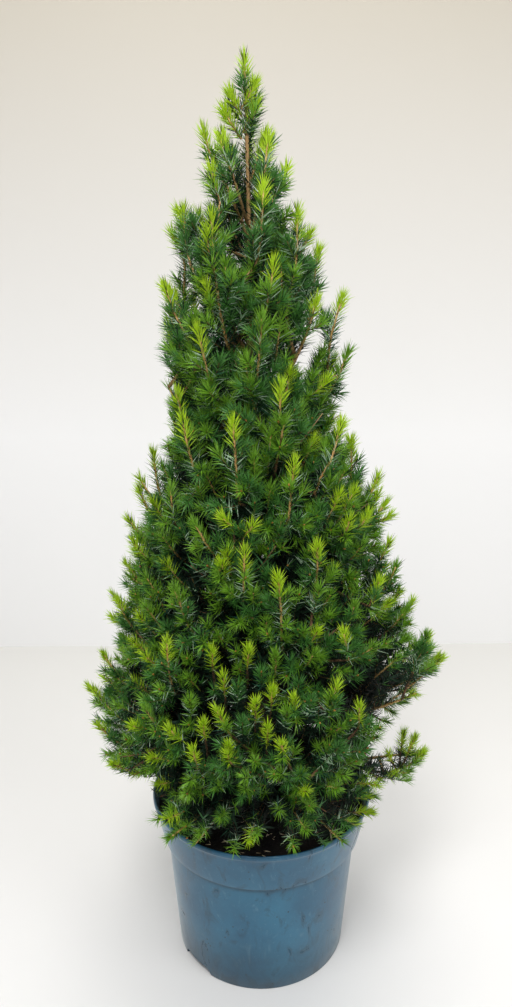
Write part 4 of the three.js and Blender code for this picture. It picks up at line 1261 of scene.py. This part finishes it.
# Peat crumbs are 1 to 3 mm, so a scale of 400 gives grains of that size.
grains = noise_at(tree, place, 400.0, Detail=5.0, Roughness=0.7)
lumps = noise_at(tree, place, 70.0, Detail=3.0)
dark = blend_colours(tree, steps(tree, lumps, 0.35, 0.65), "#070504", "#14100C")
tree.links.new(blend_colours(tree, steps(tree, grains, 0.62, 0.74), dark, "#33291F"), shader.inputs["Base Color"])
press(tree, shader, grains, 1.0, 0.0015)
soil.data.materials.append(peat)
straw_skin = skin_of_twig("dry_straw_and_root", "#8F7B58", "#E6D9BC", 0.7)


# %% Crumbs and straw by Geometry Nodes
def strewn(name, density, smallest, largest, stretch, seed, material):
    """A node tree that strews small lumps over a surface, and realizes them."""
    tree = bpy.data.node_groups.new(name, "GeometryNodeTree")
    tree.interface.new_socket("Surface", in_out="INPUT", socket_type="NodeSocketGeometry")
    for label, value in (("Pieces per square metre", density), ("Smallest", smallest), ("Largest", largest)):
        socket = tree.interface.new_socket(label, in_out="INPUT", socket_type="NodeSocketFloat")
        socket.default_value = value
    tree.interface.new_socket("Lumps", in_out="OUTPUT", socket_type="NodeSocketGeometry")
    start = add(tree, "NodeGroupInput")
    points = add(tree, "GeometryNodeDistributePointsOnFaces",
                 {"Mesh": start.outputs[0], "Density": start.outputs[1], "Seed": seed})
    lump = add(tree, "GeometryNodeMeshIcoSphere", {"Radius": 1.0, "Subdivisions": 1})
    size = add(tree, "FunctionNodeRandomValue", {2: start.outputs[2], 3: start.outputs[3], "Seed": seed + 1},
               data_type="FLOAT")
    shape = add(tree, "ShaderNodeCombineXYZ", {0: 1.0, 1: 0.8, 2: stretch})
    scale = add(tree, "ShaderNodeVectorMath", {0: shape.outputs[0], "Scale": size.outputs[1]}, operation="SCALE")
    turned = add(tree, "FunctionNodeRandomValue",
                 {0: (1.35, -0.2, 0.0), 1: (1.75, 0.2, 6.28), "Seed": seed + 2}, data_type="FLOAT_VECTOR")
    placed = add(tree, "GeometryNodeInstanceOnPoints",
                 {"Points": points.outputs[0], "Instance": lump.outputs[0],
                  "Rotation": turned.outputs[0], "Scale": scale.outputs[0]})
    real = add(tree, "GeometryNodeRealizeInstances", {"Geometry": placed.outputs[0]})
    painted = add(tree, "GeometryNodeSetMaterial", {"Geometry": real.outputs[0], "Material": material})
    end = add(tree, "NodeGroupOutput")
    tree.links.new(painted.outputs[0], end.inputs[0])
    return tree


def strew(name, tree, material):
    """Runs the tree on the top of the soil and keeps the result as a plain mesh."""
    top = [face for face in faces if all(heaved[c][2] > 160 and math.hypot(*heaved[c][:2]) < 106 for c in face)]
    piece = mesh_object(name, heaved, top)
    modifier = piece.modifiers.new("strew", "NODES")
    modifier.node_group = tree
    for item in tree.interface.items_tree:
        if item.in_out == "INPUT" and item.socket_type == "NodeSocketFloat":
            modifier[item.identifier] = item.default_value
    apply_modifiers(piece)
    if not piece.data.materials:
        piece.data.materials.append(material)
    return piece


crumbs = strew("soil_crumbs", strewn("strew_crumbs", 38000, 0.0006, 0.0019, 0.9, 3, peat), peat)
straw = strew("straw_and_roots", strewn("strew_straw", 6500, 0.00022, 0.0006, 8.0, 11, straw_skin), straw_skin)
for piece in (soil, crumbs, straw):
    keep(piece, "potting_soil", "soil")
stick_path = smooth_path([(70, -75, 164), (68, -73, 176), (66, -73, 187), (61, -70, 196)], 14)
stick = tube_arrays(stick_path, np.linspace(0.9, 0.4, 14), 6)
joined_kind("stray_root", [stick], straw_skin, "potting_soil", ["soil"], smooth=True)

# %% [markdown]
# ## Floor, wall and light
# The plant stands on a pale floor in front of a pale wall, both out of the way of the eye. A large
# soft light stands high in front, a weaker one at the right, and one above. The world
# fills the shadows evenly, as a bright room does.

# %% Floor and wall
def backdrop(name, corners, low, high, axis, start, end):
    plane = mesh_object(name, corners, [(0, 1, 2, 3)])
    material, tree, shader = start_material(f"{name}_paint", Roughness=0.55)
    place = object_place(tree)
    way = add(tree, "ShaderNodeSeparateXYZ", {0: place}).outputs[axis]
    tree.links.new(blend_colours(tree, steps(tree, way, start, end), low, high), shader.inputs["Base Color"])
    plane.data.materials.append(material)
    plane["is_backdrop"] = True


# Painted shade: the floor is darker towards the wall, and the wall darker and warmer towards the top.
backdrop("floor", [(-3000, -3000, 0), (3000, -3000, 0), (3000, 3000, 0), (-3000, 3000, 0)],
         "#E8E8E8", "#D9D8D4", 1, 0.0, 0.7)
backdrop("wall", [(-3000, 680, 0), (3000, 775, 0), (3000, 775, 3000), (-3000, 680, 3000)],
         "#F3F3F3", "#BCB6A9", 2, 0.42, 1.15)


# %% Lights
def soft_light(name, place, size, power):
    lamp = bpy.data.lights.new(name, "AREA")
    lamp.shape, lamp.size, lamp.energy = "DISK", size, power
    lamp.color = (1.0, 0.985, 0.96)
    made = bpy.data.objects.new(name, lamp)
    made.location = place
    made.rotation_euler = (Vector((0, 0, 0.45)) - Vector(place)).to_track_quat("-Z", "Y").to_euler()
    bpy.context.scene.collection.objects.link(made)


soft_light("key_light", (-0.3, -1.2, 2.2), 0.8, 32)
soft_light("side_light", (1.3, -1.0, 1.4), 1.2, 10)
soft_light("top_light", (0.1, 0.1, 2.3), 1.2, 15)
world = bpy.data.worlds.new("pale_room")
bpy.context.scene.world = world
world.use_nodes = True
world.node_tree.nodes["Background"].inputs["Color"].default_value = linear("#FAFBFF")
world.node_tree.nodes["Background"].inputs["Strength"].default_value = 0.385
bpy.context.scene.view_settings.view_transform = "Standard"
print("lights and world are set")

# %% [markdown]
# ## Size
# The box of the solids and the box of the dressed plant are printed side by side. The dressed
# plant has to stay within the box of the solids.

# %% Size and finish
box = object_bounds()
for corner, other in zip(cad_box, box):
    print([round(x, 4) for x in corner], [round(x, 4) for x in other])
